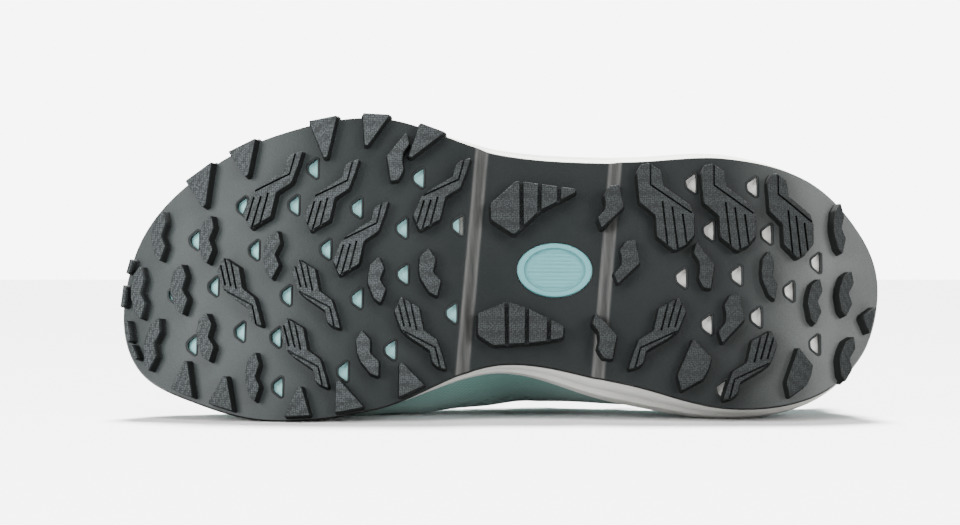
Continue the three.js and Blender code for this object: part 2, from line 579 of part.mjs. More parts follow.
function upperNormal(w, t) {
  const step = 0.004;
  const forward = upperPoint((w + step) % 2, t).sub(upperPoint((w + 2 - step) % 2, t));
  const upward = upperPoint(w, Math.min(1, t + step)).sub(upperPoint(w, Math.max(0, t - step)));
  return forward.cross(upward).normalize().negate();
}
const offsetPoint = (w, t, out) => upperPoint(w, t).addScaledVector(upperNormal(w, t), out);
const sideShare = (w) => (w <= 1 ? w : 2 - w);
function wallAt(w, t) {
  const collar = 1 - ease((sideShare(w) - 0.4) / 0.08);
  const high = ease((t - 0.5) / 0.3) * (1 - 0.55 * ease((t - 0.9) / 0.1));
  return upperSize.wall + upperSize.padding * collar * high;
}

const around = 56; // ribs in the upper
const guardLevels = [0, 0.1, 0.55, 1];
const quarterLevels = [0.2, 0.4, 0.6, 0.78, 0.89, 1];
const levelCount = guardLevels.length + quarterLevels.length;
const guardTop = guardLevels.length - 1;
const stayLow = levelCount - 3;
function levelAt(w, j) {
  const guard = rib.guard(w);
  if (j < guardLevels.length) {
    return guard * guardLevels[j];
  }
  return lerp(guard, 1, quarterLevels[j - guardLevels.length]);
}
const ribPlace = (k) => (2 * (((k % around) + around) % around)) / around;

function makeUpper() {
  const outer = range(levelCount).map((j) => range(around).map((k) => {
    const w = ribPlace(k);
    return upperPoint(w, levelAt(w, j));
  }));
  const inner = range(levelCount).map((j) => range(around).map((k) => {
    const w = ribPlace(k);
    const t = levelAt(w, j);
    const p = offsetPoint(w, t, -wallAt(w, t));
    if (j === 0) {
      p.z = foamTop(p.x) + seatGap;
    }
    return p;
  }));
  return closeRings([...outer, ...inner.reverse()]);
}

// Overlay: the part of the upper's surface between ribs first and last and levels low and high
function makeOverlay(first, last, low, high) {
  const grid = (out) => range(last - first + 1).map((k) => range(high - low + 1).map((j) => {
    const w = ribPlace(first + k);
    return offsetPoint(w, levelAt(w, low + j), out);
  }));
  return closeGrids(grid(gap), grid(gap + upperSize.overlay));
}

// Tongue: rows across the throat, under both eyestays, that run on above the top eyelets
const tongueRows = spread(0.94, 0.47, 13);
function tongueRow(v, out) {
  const edge = (w, t) => offsetPoint(w, t, out - wallAt(w, t) - 2 * gap);
  const outer = [0.86, 0.93, 1].map((t) => edge(v, t));
  const inner = [1, 0.93, 0.86].map((t) => edge(2 - v, t));
  const bridge = [0.25, 0.5, 0.75].map((share) => {
    const p = outer[2].clone().lerp(inner[0], share);
    p.z += inside.tongueCrown * 4 * share * (1 - share) * ease((0.98 - v) / 0.2);
    return p;
  });
  return [...outer, ...bridge, ...inner];
}
function makeTongue() {
  const grid = (out) => {
    const rows = tongueRows.map((v) => tongueRow(v, out));
    const last = rows[rows.length - 1];
    const before = rows[rows.length - 2];
    for (const [share, narrow] of [[0.35, 0.74], [0.7, 0.68], [1, 0.58]]) {
      const middle = last[4].clone();
      rows.push(last.map((p, j) => {
        const run = last[4].clone().sub(before[4]).normalize();
        run.z += inside.tongueLift * share;
        run.normalize();
        const moved = p.clone().sub(middle).multiplyScalar(narrow).add(middle);
        return moved.addScaledVector(run, inside.tongueReach * share);
      }));
    }
    return rows;
  };
  return closeGrids(grid(-inside.tongue), grid(0));
}

function makeInsole() {
  const vs = spread(0.04, 0.96, 23);
  const us = [-1, 0, 1];
  const out = (w) => topEdgeOut(w) - upperSize.lip - upperSize.wall - inside.insoleInset;
  const low = soleGrid(vs, us, out, (x) => foamTop(x) + gap);
  const high = soleGrid(vs, us, out, (x) => foamTop(x) + gap + inside.insole);
  return closeGrids(low, high);
}

// A flat strip with rounded edges along a path of points, with the direction that its face looks in
function strip(points, faces, wide, thick) {
  const section = [[-0.5, -0.5], [0.5, -0.5], [0.5, 0.5], [-0.5, 0.5]];
  const rings = points.map((p, i) => {
    const before = points[Math.max(0, i - 1)];
    const after = points[Math.min(points.length - 1, i + 1)];
    const run = after.clone().sub(before).normalize();
    const side = run.clone().cross(faces[i]).normalize();
    const face = side.clone().cross(run).normalize();
    return section.map(([a, b]) => p.clone()
      .addScaledVector(side, a * wide)
      .addScaledVector(face, b * thick));
  });
  return closeEnds(rings);
}

const laceRow = (row) => lerp(lace.firstRow, lace.lastRow, row / (lace.rows - 1));
function eyeletPlace(row, side) {
  const v = laceRow(row);
  const w = side === 'lateral' ? v : 2 - v;
  const t = levelAt(w, levelCount - 2);
  return { w, t, face: upperNormal(w, t) };
}
function makeEyelet(row, side) {
  const { w, t, face } = eyeletPlace(row, side);
  const base = offsetPoint(w, t, gap + upperSize.overlay + 1.5 * gap);
  const { outer, inner, height } = eyelet;
  const profile = [[inner, 0], [outer, 0], [outer - 0.4, height], [inner, height]];
  const sides = 8;
  const turn = new THREE.Quaternion().setFromUnitVectors(new THREE.Vector3(0, 0, 1), face);
  const rings = profile.map(([radius, rise]) => range(sides).map((k) => {
    const angle = (2 * Math.PI * k) / sides;
    const p = new THREE.Vector3(radius * Math.cos(angle), radius * Math.sin(angle), rise);
    return p.applyQuaternion(turn).add(base);
  }));
  return closeRings(rings);
}
function laceRun(rowA, sideA, rowB, sideB) {
  const lift = upperSize.overlay + eyelet.height + 4 * gap + lace.thick / 2;
  const ends = [eyeletPlace(rowA, sideA), eyeletPlace(rowB, sideB)];
  const [a, b] = ends.map(({ w, t }) => offsetPoint(w, t, lift));
  const shares = spread(0, 1, 7);
  const crown = lerp(lace.frontCrown, lace.topCrown, (rowA + rowB) / (2 * lace.rows - 2));
  const points = shares.map((share) => {
    const p = a.clone().lerp(b, share);
    p.z += crown * 4 * share * (1 - share);
    return p;
  });
  const faces = shares.map((share) => ends[0].face.clone().lerp(ends[1].face, share));
  return toSolid(strip(points, faces, lace.wide, lace.thick));
}

function makeLace() {
  let joined = laceRun(0, 'lateral', 0, 'medial');
  for (const row of range(lace.rows - 1)) {
    joined = joined.add(laceRun(row, 'lateral', row + 1, 'medial'));
    joined = joined.add(laceRun(row, 'medial', row + 1, 'lateral'));
  }
  return fromSolid(joined);
}

function makePullLoop() {
  const outside = gap + upperSize.overlay + gap + loop.thick / 2;
  const insideOut = (t) => -wallAt(0, t) - gap - loop.thick / 2;
  const points = [0.72, 0.8, 0.88, 0.96].map((t) => offsetPoint(0, t, outside));
  const goingDown = [1, 0.93].map((t) => offsetPoint(0, t, insideOut(t)));
  const start = points[points.length - 1];
  const end = goingDown[0];
  const centre = start.clone().lerp(end, 0.5);
  const radius = start.distanceTo(end) / 2;
  for (const share of [0.15, 0.35, 0.5, 0.65, 0.85]) {
    const angle = Math.PI * share;
    const p = centre.clone();
    p.x -= radius * Math.cos(angle);
    p.z = lerp(start.z, end.z, share) + loop.rise * Math.sin(angle);
    points.push(p);
  }
  points.push(...goingDown);
  const faces = points.map((p, i) => {
    const before = points[Math.max(0, i - 1)];
    const after = points[Math.min(points.length - 1, i + 1)];
    const run = after.clone().sub(before);
    return new THREE.Vector3(-run.z, 0, run.x).normalize();
  });
  return strip(points, faces, loop.wide, loop.thick);
}

// Assembly, standing
const shoe = new THREE.Group();
function addPiece(name, geometry, finish) {
  facingOut(geometry).computeVertexNormals();
  const mesh = new THREE.Mesh(geometry, new THREE.MeshStandardMaterial({ ...finishes[finish], metalness: 0 }));
  mesh.name = name;
  shoe.add(mesh);
}
const ribAt = (v) => Math.round((v * around) / 2);
addPiece('outsole', makeOutsole(), 'rubber');
addPiece('arch_inset', makeArchInset(), 'tealFoam');
addPiece('forefoot_foam', sheetSolid(0, foam.sheet), 'tealFoam');
addPiece('midsole', makeMidsole(), 'whiteFoam');
addPiece('insole', makeInsole(), 'lining');
addPiece('upper', makeUpper(), 'mesh');
addPiece('toe_cap', makeOverlay(ribAt(0.8), around - ribAt(0.8), 1, guardTop), 'film');
addPiece('heel_counter', makeOverlay(-ribAt(0.3), ribAt(0.3), 1, guardTop), 'film');
const stay = [ribAt(0.5), ribAt(0.875)];
const stayTop = levelCount - 1;
addPiece('eyestay_lateral', makeOverlay(stay[0], stay[1], stayLow, stayTop), 'film');
addPiece('eyestay_medial', makeOverlay(around - stay[1], around - stay[0], stayLow, stayTop), 'film');
addPiece('tongue', makeTongue(), 'mesh');
addPiece('pull_loop', makePullLoop(), 'film');
for (const side of ['lateral', 'medial']) {
  for (const row of range(lace.rows)) {
    addPiece(`eyelet_${side}_${row + 1}`, makeEyelet(row, side), 'film');
  }
}
addPiece('lace', makeLace(), 'cord');

// Lying down: toe towards -X, outer side up, tread towards -Y, then rolled and pitched until the
// forefoot's sole edge, the heel's sole edge and the upper all touch the floor
const lying = new THREE.Matrix4().makeBasis(
  new THREE.Vector3(-1, 0, 0),
  new THREE.Vector3(0, 0, 1),
  new THREE.Vector3(0, 1, 0),
);
const laid = new THREE.Quaternion().setFromRotationMatrix(lying);
const cloud = (names, keep) => shoe.children.filter((mesh) => names.includes(mesh.name)).flatMap((mesh) => {
  const at = mesh.geometry.getAttribute('position');
  return range(at.count).map((k) => new THREE.Vector3().fromBufferAttribute(at, k)).filter(keep);
});
const solePieces = ['outsole', 'midsole'];
const middle = sole.length / 2;
const supports = [
  cloud(solePieces, (p) => p.x > middle),
  cloud(solePieces, (p) => p.x < middle),
  cloud(['upper', 'toe_cap', 'heel_counter'], () => true),
];
const resting = laid.clone();
for (const _ of range(30)) {
  const [fore, rear, side] = supports.map((points) => {
    const turned = points.map((p) => p.clone().applyQuaternion(resting));
    return turned.reduce((low, p) => (p.z < low.z ? p : low));
  });
  const floor = new THREE.Plane().setFromCoplanarPoints(fore, rear, side);
  const up = floor.normal.z < 0 ? floor.normal.clone().negate() : floor.normal;
  const level = new THREE.Quaternion().setFromUnitVectors(up, new THREE.Vector3(0, 0, 1));
  resting.premultiply(level);
}
shoe.quaternion.copy(resting);
shoe.updateMatrixWorld(true);
const bounds = new THREE.Box3().setFromObject(shoe, true);
shoe.position.set(-(bounds.min.x + bounds.max.x) / 2, -(bounds.min.y + bounds.max.y) / 2, -bounds.min.z);

export default shoe;
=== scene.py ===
# %% [markdown]
# A trail running shoe for the left foot lies on its inner side and shows its sole.
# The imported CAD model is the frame: it fixes every size and place. This lesson dresses it with finer
# surfaces, each worked out with numpy from the same few sizes as the CAD, and with procedural materials.

# %% Load the frame
import json
import math

import bmesh
import bpy
import numpy as np
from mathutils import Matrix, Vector


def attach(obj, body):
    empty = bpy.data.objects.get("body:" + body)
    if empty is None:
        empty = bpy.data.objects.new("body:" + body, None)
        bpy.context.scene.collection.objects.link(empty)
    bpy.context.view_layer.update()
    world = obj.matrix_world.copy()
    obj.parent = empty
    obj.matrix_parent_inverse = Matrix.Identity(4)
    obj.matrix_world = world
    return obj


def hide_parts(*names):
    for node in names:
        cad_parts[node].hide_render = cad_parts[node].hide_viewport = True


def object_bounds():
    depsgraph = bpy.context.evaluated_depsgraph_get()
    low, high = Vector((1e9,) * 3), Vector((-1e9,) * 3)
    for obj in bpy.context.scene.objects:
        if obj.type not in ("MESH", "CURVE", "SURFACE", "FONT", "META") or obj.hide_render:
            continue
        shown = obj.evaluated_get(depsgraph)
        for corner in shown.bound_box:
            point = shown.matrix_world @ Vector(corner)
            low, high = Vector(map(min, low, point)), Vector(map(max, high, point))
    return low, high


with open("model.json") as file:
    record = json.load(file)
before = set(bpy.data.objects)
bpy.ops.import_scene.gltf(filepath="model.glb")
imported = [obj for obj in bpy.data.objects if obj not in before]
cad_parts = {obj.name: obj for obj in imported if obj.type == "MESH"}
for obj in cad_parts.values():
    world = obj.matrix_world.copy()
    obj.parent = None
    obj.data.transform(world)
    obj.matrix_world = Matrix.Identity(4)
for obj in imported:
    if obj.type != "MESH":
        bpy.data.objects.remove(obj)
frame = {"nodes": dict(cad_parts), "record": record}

cad_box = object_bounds()
print("CAD box in metres:", cad_box)

# %% [markdown]
# The shoe is easiest to describe standing: x from heel to toe, y to its outer side, z up from the ground.
# Two measured spots of the tread, the record's mounts, say how that standing frame lies in the scene.
# So no placing numbers are typed twice, and every surface below is written in standing millimetres.

# %% Standing frame, in millimetres
MM = 0.001
LENGTH = 296.0
HALF = 60.0
FORE_SPOT = np.array([173.5, 24.5])
HEEL_SPOT = np.array([56.6, 19.5])


def unit(vectors):
    """Each vector divided by its own length."""
    vectors = np.asarray(vectors, float)
    return vectors / np.linalg.norm(vectors, axis=-1, keepdims=True)


mounts = {mount["name"]: mount for mount in frame["record"]["mounts"]}
fore = np.array(mounts["tread_forefoot"]["pos_m"]) / MM
rear = np.array(mounts["tread_heel"]["pos_m"]) / MM
UP = -unit(mounts["tread_heel"]["axis"])
span = FORE_SPOT - HEEL_SPOT
run = fore - rear
AHEAD = unit(span[0] * run - span[1] * np.cross(UP, run))
OUTWARD = np.cross(UP, AHEAD)
ORIGIN = rear - HEEL_SPOT[0] * AHEAD - HEEL_SPOT[1] * OUTWARD
print("standing up direction in the scene:", UP.round(4))


def to_scene(points):
    """Standing millimetres to scene metres: origin + x ahead + y outward + z up."""
    flat = np.asarray(points, float).reshape(-1, 3)
    return (ORIGIN + flat @ np.stack([AHEAD, OUTWARD, UP])) * MM


# %% [markdown]
# A curve through a short table gives each edge. The table's outer side is read from heel to toe and its
# inner side back again, as one closed ring, so the heel and the toe are as round as the rest.

# %% Tables of the sole's outline and of the upper's ribs
OUTLINE = {
    "outer": [-0.08, 0.28, 0.61, 0.75, 0.72, 0.77, 0.995, 0.89, 0.62, 0.25, -0.25],
    "inner": [-0.08, -0.52, -0.81, -0.88, -0.72, -0.61, -0.9, -0.98, -0.84, -0.63, -0.25],
    "outer_flare": [0.01, 0.02, 0.05, 0.085, 0.09, 0.07, 0.01, -0.02, -0.02, -0.02, -0.02],
    "inner_flare": [0.01, 0.01, 0.01, 0.03, 0.09, 0.025, -0.03, -0.04, -0.03, -0.02, -0.02],
}
RIBS = {
    "top_along": [0.036, 0.048, 0.1, 0.2, 0.315, 0.405, 0.49, 0.575, 0.65, 0.695, 0.71],
    "top_half": [0.0, 0.25, 0.47, 0.57, 0.5, 0.3, 0.25, 0.235, 0.215, 0.14, 0.0],
    "top_up": [1.0, 0.985, 0.91, 0.8, 0.88, 1.03, 0.965, 0.88, 0.81, 0.77, 0.76],
    "low_outer": [0.06, 0.06, 0.06, 0.05, 0.05, 0.05, 0.05, 0.06, 0.05, 0.04, 0.03],
    "low_inner": [0.06, 0.06, 0.05, 0.03, 0.1, 0.25, 0.14, 0.08, 0.06, 0.04, 0.03],
    "low_up": [0.22, 0.22, 0.22, 0.22, 0.24, 0.26, 0.24, 0.22, 0.19, 0.17, 0.16],
    "high_outer": [-0.08, -0.04, 0.03, 0.07, 0.12, 0.42, 0.5, 0.52, 0.55, 0.64, 0.7],
    "high_inner": [-0.08, -0.04, 0.03, 0.07, 0.22, 0.5, 0.55, 0.52, 0.55, 0.64, 0.7],
    "high_down": [0.25, 0.25, 0.22, 0.18, 0.16, 0.14, 0.1, 0.07, 0.04, 0.01, 0.0],
    "guard": [0.55, 0.53, 0.45, 0.31, 0.23, 0.2, 0.2, 0.24, 0.3, 0.37, 0.4],
}


def ring_of(outer, inner):
    """Smooth closed curve through the outer column and back through the inner one.

    Between the values b and c, with a before and d after, it is the cubic
    b + t/2 (c - a + t (2a - 5b + 4c - d + t (3 (b - c) + d - a))).
    """
    numbers = np.array(list(outer) + list(inner[-2:0:-1]))
    count = len(numbers)

    def value(w):
        place = np.asarray(w, float) * (len(outer) - 1)
        i = np.floor(place).astype(int)
        t = place - i
        a, b, c, d = (numbers[(i + k) % count] for k in (-1, 0, 1, 2))
        return b + 0.5 * t * (c - a + t * (2 * a - 5 * b + 4 * c - d + t * (3 * (b - c) + d - a)))
    return value


def ease(t):
    """Smooth step from 0 to 1: t squared times (3 - 2t), with t held between 0 and 1."""
    t = np.clip(t, 0, 1)
    return t * t * (3 - 2 * t)


edge_share = ring_of(OUTLINE["outer"], OUTLINE["inner"])
flare_share = ring_of(OUTLINE["outer_flare"], OUTLINE["inner_flare"])
rib = {name: ring_of(column, column) for name, column in RIBS.items()}
rib["top_half"] = ring_of(RIBS["top_half"], [-value for value in RIBS["top_half"]])
rib["low_out"] = ring_of(RIBS["low_outer"], RIBS["low_inner"])
rib["high_out"] = ring_of(RIBS["high_outer"], RIBS["high_inner"])
print("widest half of the forefoot, mm:", round(float(HALF * edge_share(0.6)), 1))

# %% [markdown]
# The tread rises at the toe (toe spring) and a little at the back (heel bevel). Under the arch the
# rubber steps up into a shallow recess with sloped ends. The foam's top falls from heel to ball.

# %% Heights along the sole
TOE_SPRING = 24.0
SPRING_POWER = 2.1
SPRING_START = 0.66 * LENGTH
HEEL_BEVEL = 10.0
BEVEL_END = 0.152 * LENGTH
LUG = 5.4
PLATE = 1.8
ARCH_REAR = 0.351 * LENGTH
ARCH_FRONT = 0.537 * LENGTH
ARCH_RAMP = 5.5
ARCH_LIFT = 3.0
RAMP_SKEW = 0.079
FRONT_RAMP_Y, REAR_RAMP_Y = 30.0, -4.0
PAD_DROP = 1.8
HEEL_HEIGHT, BALL_HEIGHT, TOE_HEIGHT = 31.0, 22.0, 15.0
HEEL_END = 0.27 * LENGTH
BALL_START = 0.64 * LENGTH
SOLE_GAP = 0.45


def tread(x):
    """Ground line of the lugs: a power of the distance past the spring's start, plus a heel bevel."""
    spring = np.maximum(0, (x - SPRING_START) / (LENGTH - SPRING_START))
    bevel = np.maximum(0, (BEVEL_END - x) / BEVEL_END)
    return TOE_SPRING * spring ** SPRING_POWER + HEEL_BEVEL * bevel ** 2


def tread_slope(x):
    """Rise of the ground line for each millimetre ahead."""
    return (tread(x + 1) - tread(x - 1)) / 2


def arch_share(x, y):
    """1 in the recess under the arch, 0 outside it, on two smooth ramps that slant across the sole."""
    front = (ARCH_FRONT - RAMP_SKEW * (y - FRONT_RAMP_Y) - x) / ARCH_RAMP
    back = (x - ARCH_REAR - RAMP_SKEW * (REAR_RAMP_Y - y)) / ARCH_RAMP
    return ease(np.minimum(front, back))


def plate_bottom(x, y=0.0):
    """Underside of the rubber plate: ground line plus the lugs' height, lifted under the arch."""
    return tread(x) + LUG + ARCH_LIFT * arch_share(x, y)


def foam_top(x):
    """Heel height easing down to ball height, then following the toe spring and thinning to the toe."""
    down = ease((x - HEEL_END) / (BALL_START - HEEL_END))
    standing = HEEL_HEIGHT + (BALL_HEIGHT - HEEL_HEIGHT) * down
    forward = ease((x - BALL_START) / (LENGTH - BALL_START))
    rise = np.maximum(0, (x - SPRING_START) / (LENGTH - SPRING_START))
    return standing + TOE_SPRING * rise ** SPRING_POWER - (BALL_HEIGHT - TOE_HEIGHT) * forward


def outline_at(w):
    """Point of the sole's outline: x = length (1 - cos pi v) / 2 and y = half the width times its share."""
    v = np.asarray(w, float) % 2
    return np.stack([LENGTH * (1 - np.cos(np.pi * v)) / 2, HALF * edge_share(v)], -1)


STEP = 0.004


def edge_frame(w):
    """The outline's point at w, and the direction square to it that points out of the shoe."""
    along = unit(outline_at(w + STEP) - outline_at(w - STEP))
    return outline_at(w), np.stack([-along[..., 1], along[..., 0]], -1)


def edge_point(w, out=0.0):
    """The outline's point at w, moved out of the shoe by out millimetres."""
    point, outward = edge_frame(np.asarray(w, float))
    return point + outward * np.broadcast_to(out, outward.shape[:-1])[..., None]


def flare(w):
    """How far the foam's side stands out from the outline at w: half the width times its share."""
    return HALF * flare_share(w)


print("tread height at the toe tip, mm:", float(tread(LENGTH)))

# %% [markdown]
# A mesh is a block of points and a list of faces. A grid of points gives its quads by counting alone,
# so these helpers turn any array of points into an object with no loop over its vertices.

# %% Meshes from arrays
def grid_faces(rows, columns, wrap_rows=False, wrap_columns=False, first=0):
    """Quads between neighbours of a rows by columns grid. A wrapped side joins its last row to its first."""
    i, j = np.meshgrid(np.arange(rows - (not wrap_rows)), np.arange(columns - (not wrap_columns)),
                       indexing="ij")
    after_i = (i + 1) % rows
    after_j = (j + 1) % columns
    corners = [i * columns + j, i * columns + after_j, after_i * columns + after_j, after_i * columns + j]
    return np.stack(corners, -1).reshape(-1, 4) + first


def round_angles(count):
    """Angles evenly spaced once round a circle."""
    return np.linspace(0, 2 * np.pi, count, endpoint=False)


def linked(name, data):
    """Object with the given data, put into the scene."""
    made = bpy.data.objects.new(name, data)
    bpy.context.scene.collection.objects.link(made)
    return made


def mesh_from(name, points, face_groups):
    """Mesh of scene points and face groups, and the point number of every face corner."""
    mesh = bpy.data.meshes.new(name)
    corners = np.concatenate([group.ravel() for group in face_groups])
    sizes = np.concatenate([np.full(len(group), group.shape[1]) for group in face_groups])
    mesh.vertices.add(len(points))
    mesh.vertices.foreach_set("co", points.ravel())
    mesh.loops.add(len(corners))
    mesh.loops.foreach_set("vertex_index", corners)
    mesh.polygons.add(len(sizes))
    mesh.polygons.foreach_set("loop_start", np.concatenate([[0], np.cumsum(sizes)[:-1]]))
    mesh.update(calc_edges=True)
    return mesh, corners


def edited(mesh, change):
    """Applies one bmesh change to a mesh."""
    work = bmesh.new()
    work.from_mesh(mesh)
    change(work)
    work.to_mesh(mesh)
    work.free()


def shade(mesh, sharp):
    """Smooth shading that keeps edges sharper than the angle crisp."""
    mesh.shade_smooth()
    mesh.set_sharp_from_angle(angle=math.radians(sharp))


def face_out(mesh, sharp):
    """Turns every face outwards and shades the mesh."""
    edited(mesh, lambda work: bmesh.ops.recalc_face_normals(work, faces=work.faces))
    shade(mesh, sharp)


def new_piece(name, shape, materials, replaces=(), sharp=40, uv=None, corner_uv=None, which=None):
    """Object from a shape, which is standing points with their face groups.

    The UV is given by point as uv, or by face corner in the order of the faces as corner_uv. Which gives
    the number of each face's material.
    """
    mesh, corners = mesh_from(name, to_scene(shape[0]), shape[1])
    for material in materials:
        mesh.materials.append(material)
    if which is not None:
        mesh.polygons.foreach_set("material_index", np.asarray(which, int))
    if uv is not None:
        corner_uv = uv[corners]
    if corner_uv is not None:
        mesh.uv_layers.new(name="surface").data.foreach_set("uv", corner_uv.ravel())
    piece = linked(name, mesh)
    face_out(mesh, sharp)
    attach(piece, "root")
    if replaces:
        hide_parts(*replaces)
    print(name, "has", len(mesh.polygons), "faces")
    return piece


BEVEL_ANGLE = 40


def bevelled(piece, width, segments=2):
    """Live bevel of the edges sharper than BEVEL_ANGLE, in millimetres."""
    bevel = piece.modifiers.new("rounded edges", "BEVEL")
    bevel.width = width * MM
    bevel.segments = segments
    bevel.limit_method = "ANGLE"
    bevel.angle_limit = math.radians(BEVEL_ANGLE)
    return piece


def two_sheets(low, high):
    """Points and quads of a closed plate between two grids of the same size."""
    rows, columns = low.shape[:2]
    points = np.concatenate([low.reshape(-1, 3), high.reshape(-1, 3)])
    index = np.arange(rows * columns).reshape(rows, columns)
    border = np.concatenate([index[0, :-1], index[:-1, -1], index[-1, :0:-1], index[:0:-1, 0]])
    after = np.roll(border, -1)
    side = np.stack([border, after, after + index.size, border + index.size], -1)
    low_faces = grid_faces(rows, columns)
    return points, [low_faces, low_faces + index.size, side]


# %% [markdown]
# Effects that several finishes share are node groups, built once. Each group only puts out masks or
# heights, and each material keeps its own Principled shader with its own plain values.

# %% Node helpers
def node(tree, kind, values=None, **settings):
    """New node with its settings, and with plain values on the inputs of the given names or numbers."""
    made = tree.nodes.new(kind)
    for key, value in settings.items():
        setattr(made, key, value)
    for title, value in (values or {}).items():
        made.inputs[title].default_value = value
    return made


def connect(tree, source, target):
    """Link from an output socket to an input socket."""
    tree.links.new(source, target)


def maths(tree, operation, first, second=None, clamp=False):
    """Math node whose inputs are sockets or plain numbers."""
    made = node(tree, "ShaderNodeMath", operation=operation, use_clamp=clamp)
    for place, value in enumerate([first, second]):
        if value is None:
            continue
        if isinstance(value, (int, float)):
            made.inputs[place].default_value = value
        else:
            connect(tree, value, made.inputs[place])
    return made.outputs[0]


def group_with(name, inputs, output="Mask"):
    """Empty node group with named float inputs, a vector input where asked, and one float output."""
    tree = bpy.data.node_groups.new(name, "ShaderNodeTree")
    for title, default in inputs.items():
        kind = "NodeSocketVector" if default is None else "NodeSocketFloat"
        socket = tree.interface.new_socket(title, in_out="INPUT", socket_type=kind)
        if default is not None:
            socket.default_value = default
    tree.interface.new_socket(output, in_out="OUTPUT", socket_type="NodeSocketFloat")
    return tree, node(tree, "NodeGroupInput"), node(tree, "NodeGroupOutput")


def use_group(tree, group, vector=None, **values):
    """Output of a node group whose inputs have plain values, apart from the vector."""
    made = node(tree, "ShaderNodeGroup", values, node_tree=group)
    if vector is not None:
        connect(tree, vector, made.inputs["Vector"])
    return made.outputs[0]


# %% [markdown]
# Three effects occur on many surfaces: the fine grain that moulding leaves, the brighter edges where a
# surface bulges, and the crossing threads of cloth. Each is built once and then used with its own sizes.

# %% Shared effects: grain, edge wear, weave
def make_grain():
    """Even fine noise, 0 to 1: detail noise at Scale, pushed apart by Contrast."""
    tree, enter, leave = group_with("grain", {"Vector": None, "Scale": 900.0, "Contrast": 1.5})
    noise = node(tree, "ShaderNodeTexNoise", {"Detail": 3.0})
    connect(tree, enter.outputs["Vector"], noise.inputs["Vector"])
    connect(tree, enter.outputs["Scale"], noise.inputs["Scale"])
    centred = maths(tree, "SUBTRACT", noise.outputs["Fac"], 0.5)
    spread = maths(tree, "MULTIPLY", centred, enter.outputs["Contrast"])
    connect(tree, maths(tree, "ADD", spread, 0.5, clamp=True), leave.inputs[0])
    return tree


def make_wear():
    """Where the surface bulges: how far the mesh's pointiness lies above a half, times Strength."""
    tree, enter, leave = group_with("edge wear", {"Strength": 8.0})
    geometry = node(tree, "ShaderNodeNewGeometry")
    above = maths(tree, "SUBTRACT", geometry.outputs["Pointiness"], 0.5)
    connect(tree, maths(tree, "MULTIPLY", above, enter.outputs["Strength"], clamp=True), leave.inputs[0])
    return tree


def make_weave():
    """Plain weave, 0 to 1: half the product of two crossed sines plus a half, one thread per Pitch."""
    tree, enter, leave = group_with("weave", {"Vector": None, "Pitch": 1.0})
    parts = node(tree, "ShaderNodeSeparateXYZ")
    connect(tree, enter.outputs["Vector"], parts.inputs[0])
    turns = maths(tree, "DIVIDE", math.pi, enter.outputs["Pitch"])
    warp = maths(tree, "SINE", maths(tree, "MULTIPLY", parts.outputs["X"], turns))
    weft = maths(tree, "SINE", maths(tree, "MULTIPLY", parts.outputs["Y"], turns))
    half = maths(tree, "MULTIPLY", maths(tree, "MULTIPLY", warp, weft), 0.5)
    connect(tree, maths(tree, "ADD", half, 0.5), leave.inputs[0])
    return tree


GRAIN = make_grain()
WEAR = make_wear()
WEAVE = make_weave()


# %% [markdown]
# Rubber, foam, film and cloth differ in colour, in how rough they are and in how fine their grain is.
# One function lays out what they have in common, and each finish then adds its own nodes.

# %% A finish and its parts
def linear(red, green, blue):
    """Screen colour 0 to 255 to the linear colour that shaders use."""
    share = np.array([red, green, blue]) / 255
    low = share / 12.92
    high = ((share + 0.055) / 1.055) ** 2.4
    return (*np.where(share <= 0.04045, low, high), 1.0)


def finish(name, colour, roughness, coat=0.0, sheen=0.0):
    """Material with one Principled shader. Returns the material, its tree, the shader and coordinates."""
    made = bpy.data.materials.new(name)
    made.use_nodes = True
    tree = made.node_tree
    shader = tree.nodes["Principled BSDF"]
    shader.inputs["Base Color"].default_value = linear(*colour)
    shader.inputs["Roughness"].default_value = roughness
    shader.inputs["Coat Weight"].default_value = coat
    shader.inputs["Sheen Weight"].default_value = sheen
    return made, tree, shader, node(tree, "ShaderNodeTexCoord")


def add_bump(tree, shader, height, distance):
    """Bump from a height of 0 to 1 that stands for the given distance in millimetres."""
    bump = node(tree, "ShaderNodeBump", {"Distance": distance * MM})
    connect(tree, height, bump.inputs["Height"])
    connect(tree, bump.outputs[0], shader.inputs["Normal"])


def mix_colours(tree, mask, first, second):
    """Colour that goes from first, where the mask is 0, to second, where it is 1."""
    mix = node(tree, "ShaderNodeMix", data_type="RGBA")
    connect(tree, mask, mix.inputs["Factor"])
    for socket, value in [(mix.inputs[6], first), (mix.inputs[7], second)]:
        if isinstance(value, tuple):
            socket.default_value = value
        else:
            connect(tree, value, socket)
    return mix.outputs[2]


def paler(colour, by):
    """Screen colour with each channel raised by the same step, up to 255."""
    return tuple(min(255, value + by) for value in colour)


def grain(tree, coordinates, scale, contrast):
    """Grain over the object itself, at the given scale per metre and contrast."""
    return use_group(tree, GRAIN, coordinates.outputs["Object"], Scale=scale, Contrast=contrast)


def vary_roughness(tree, shader, mask, low, high):
    """Roughness that goes from low, where the mask is 0, to high, where it is 1."""
    spread = node(tree, "ShaderNodeMapRange", {"To Min": low, "To Max": high})
    connect(tree, mask, spread.inputs["Value"])
    connect(tree, spread.outputs[0], shader.inputs["Roughness"])


def facing_tread(tree, low, high):
    """Mask of the faces that look the way the tread does: the normal's share along the tread's direction."""
    geometry = node(tree, "ShaderNodeNewGeometry")
    dot = node(tree, "ShaderNodeVectorMath", {1: tuple(-UP)}, operation="DOT_PRODUCT")
    connect(tree, geometry.outputs["Normal"], dot.inputs[0])
    limits = {"From Min": low, "From Max": high}
    spread = node(tree, "ShaderNodeMapRange", limits, interpolation_type="SMOOTHSTEP")
    connect(tree, dot.outputs["Value"], spread.inputs["Value"])
    return spread.outputs[0]


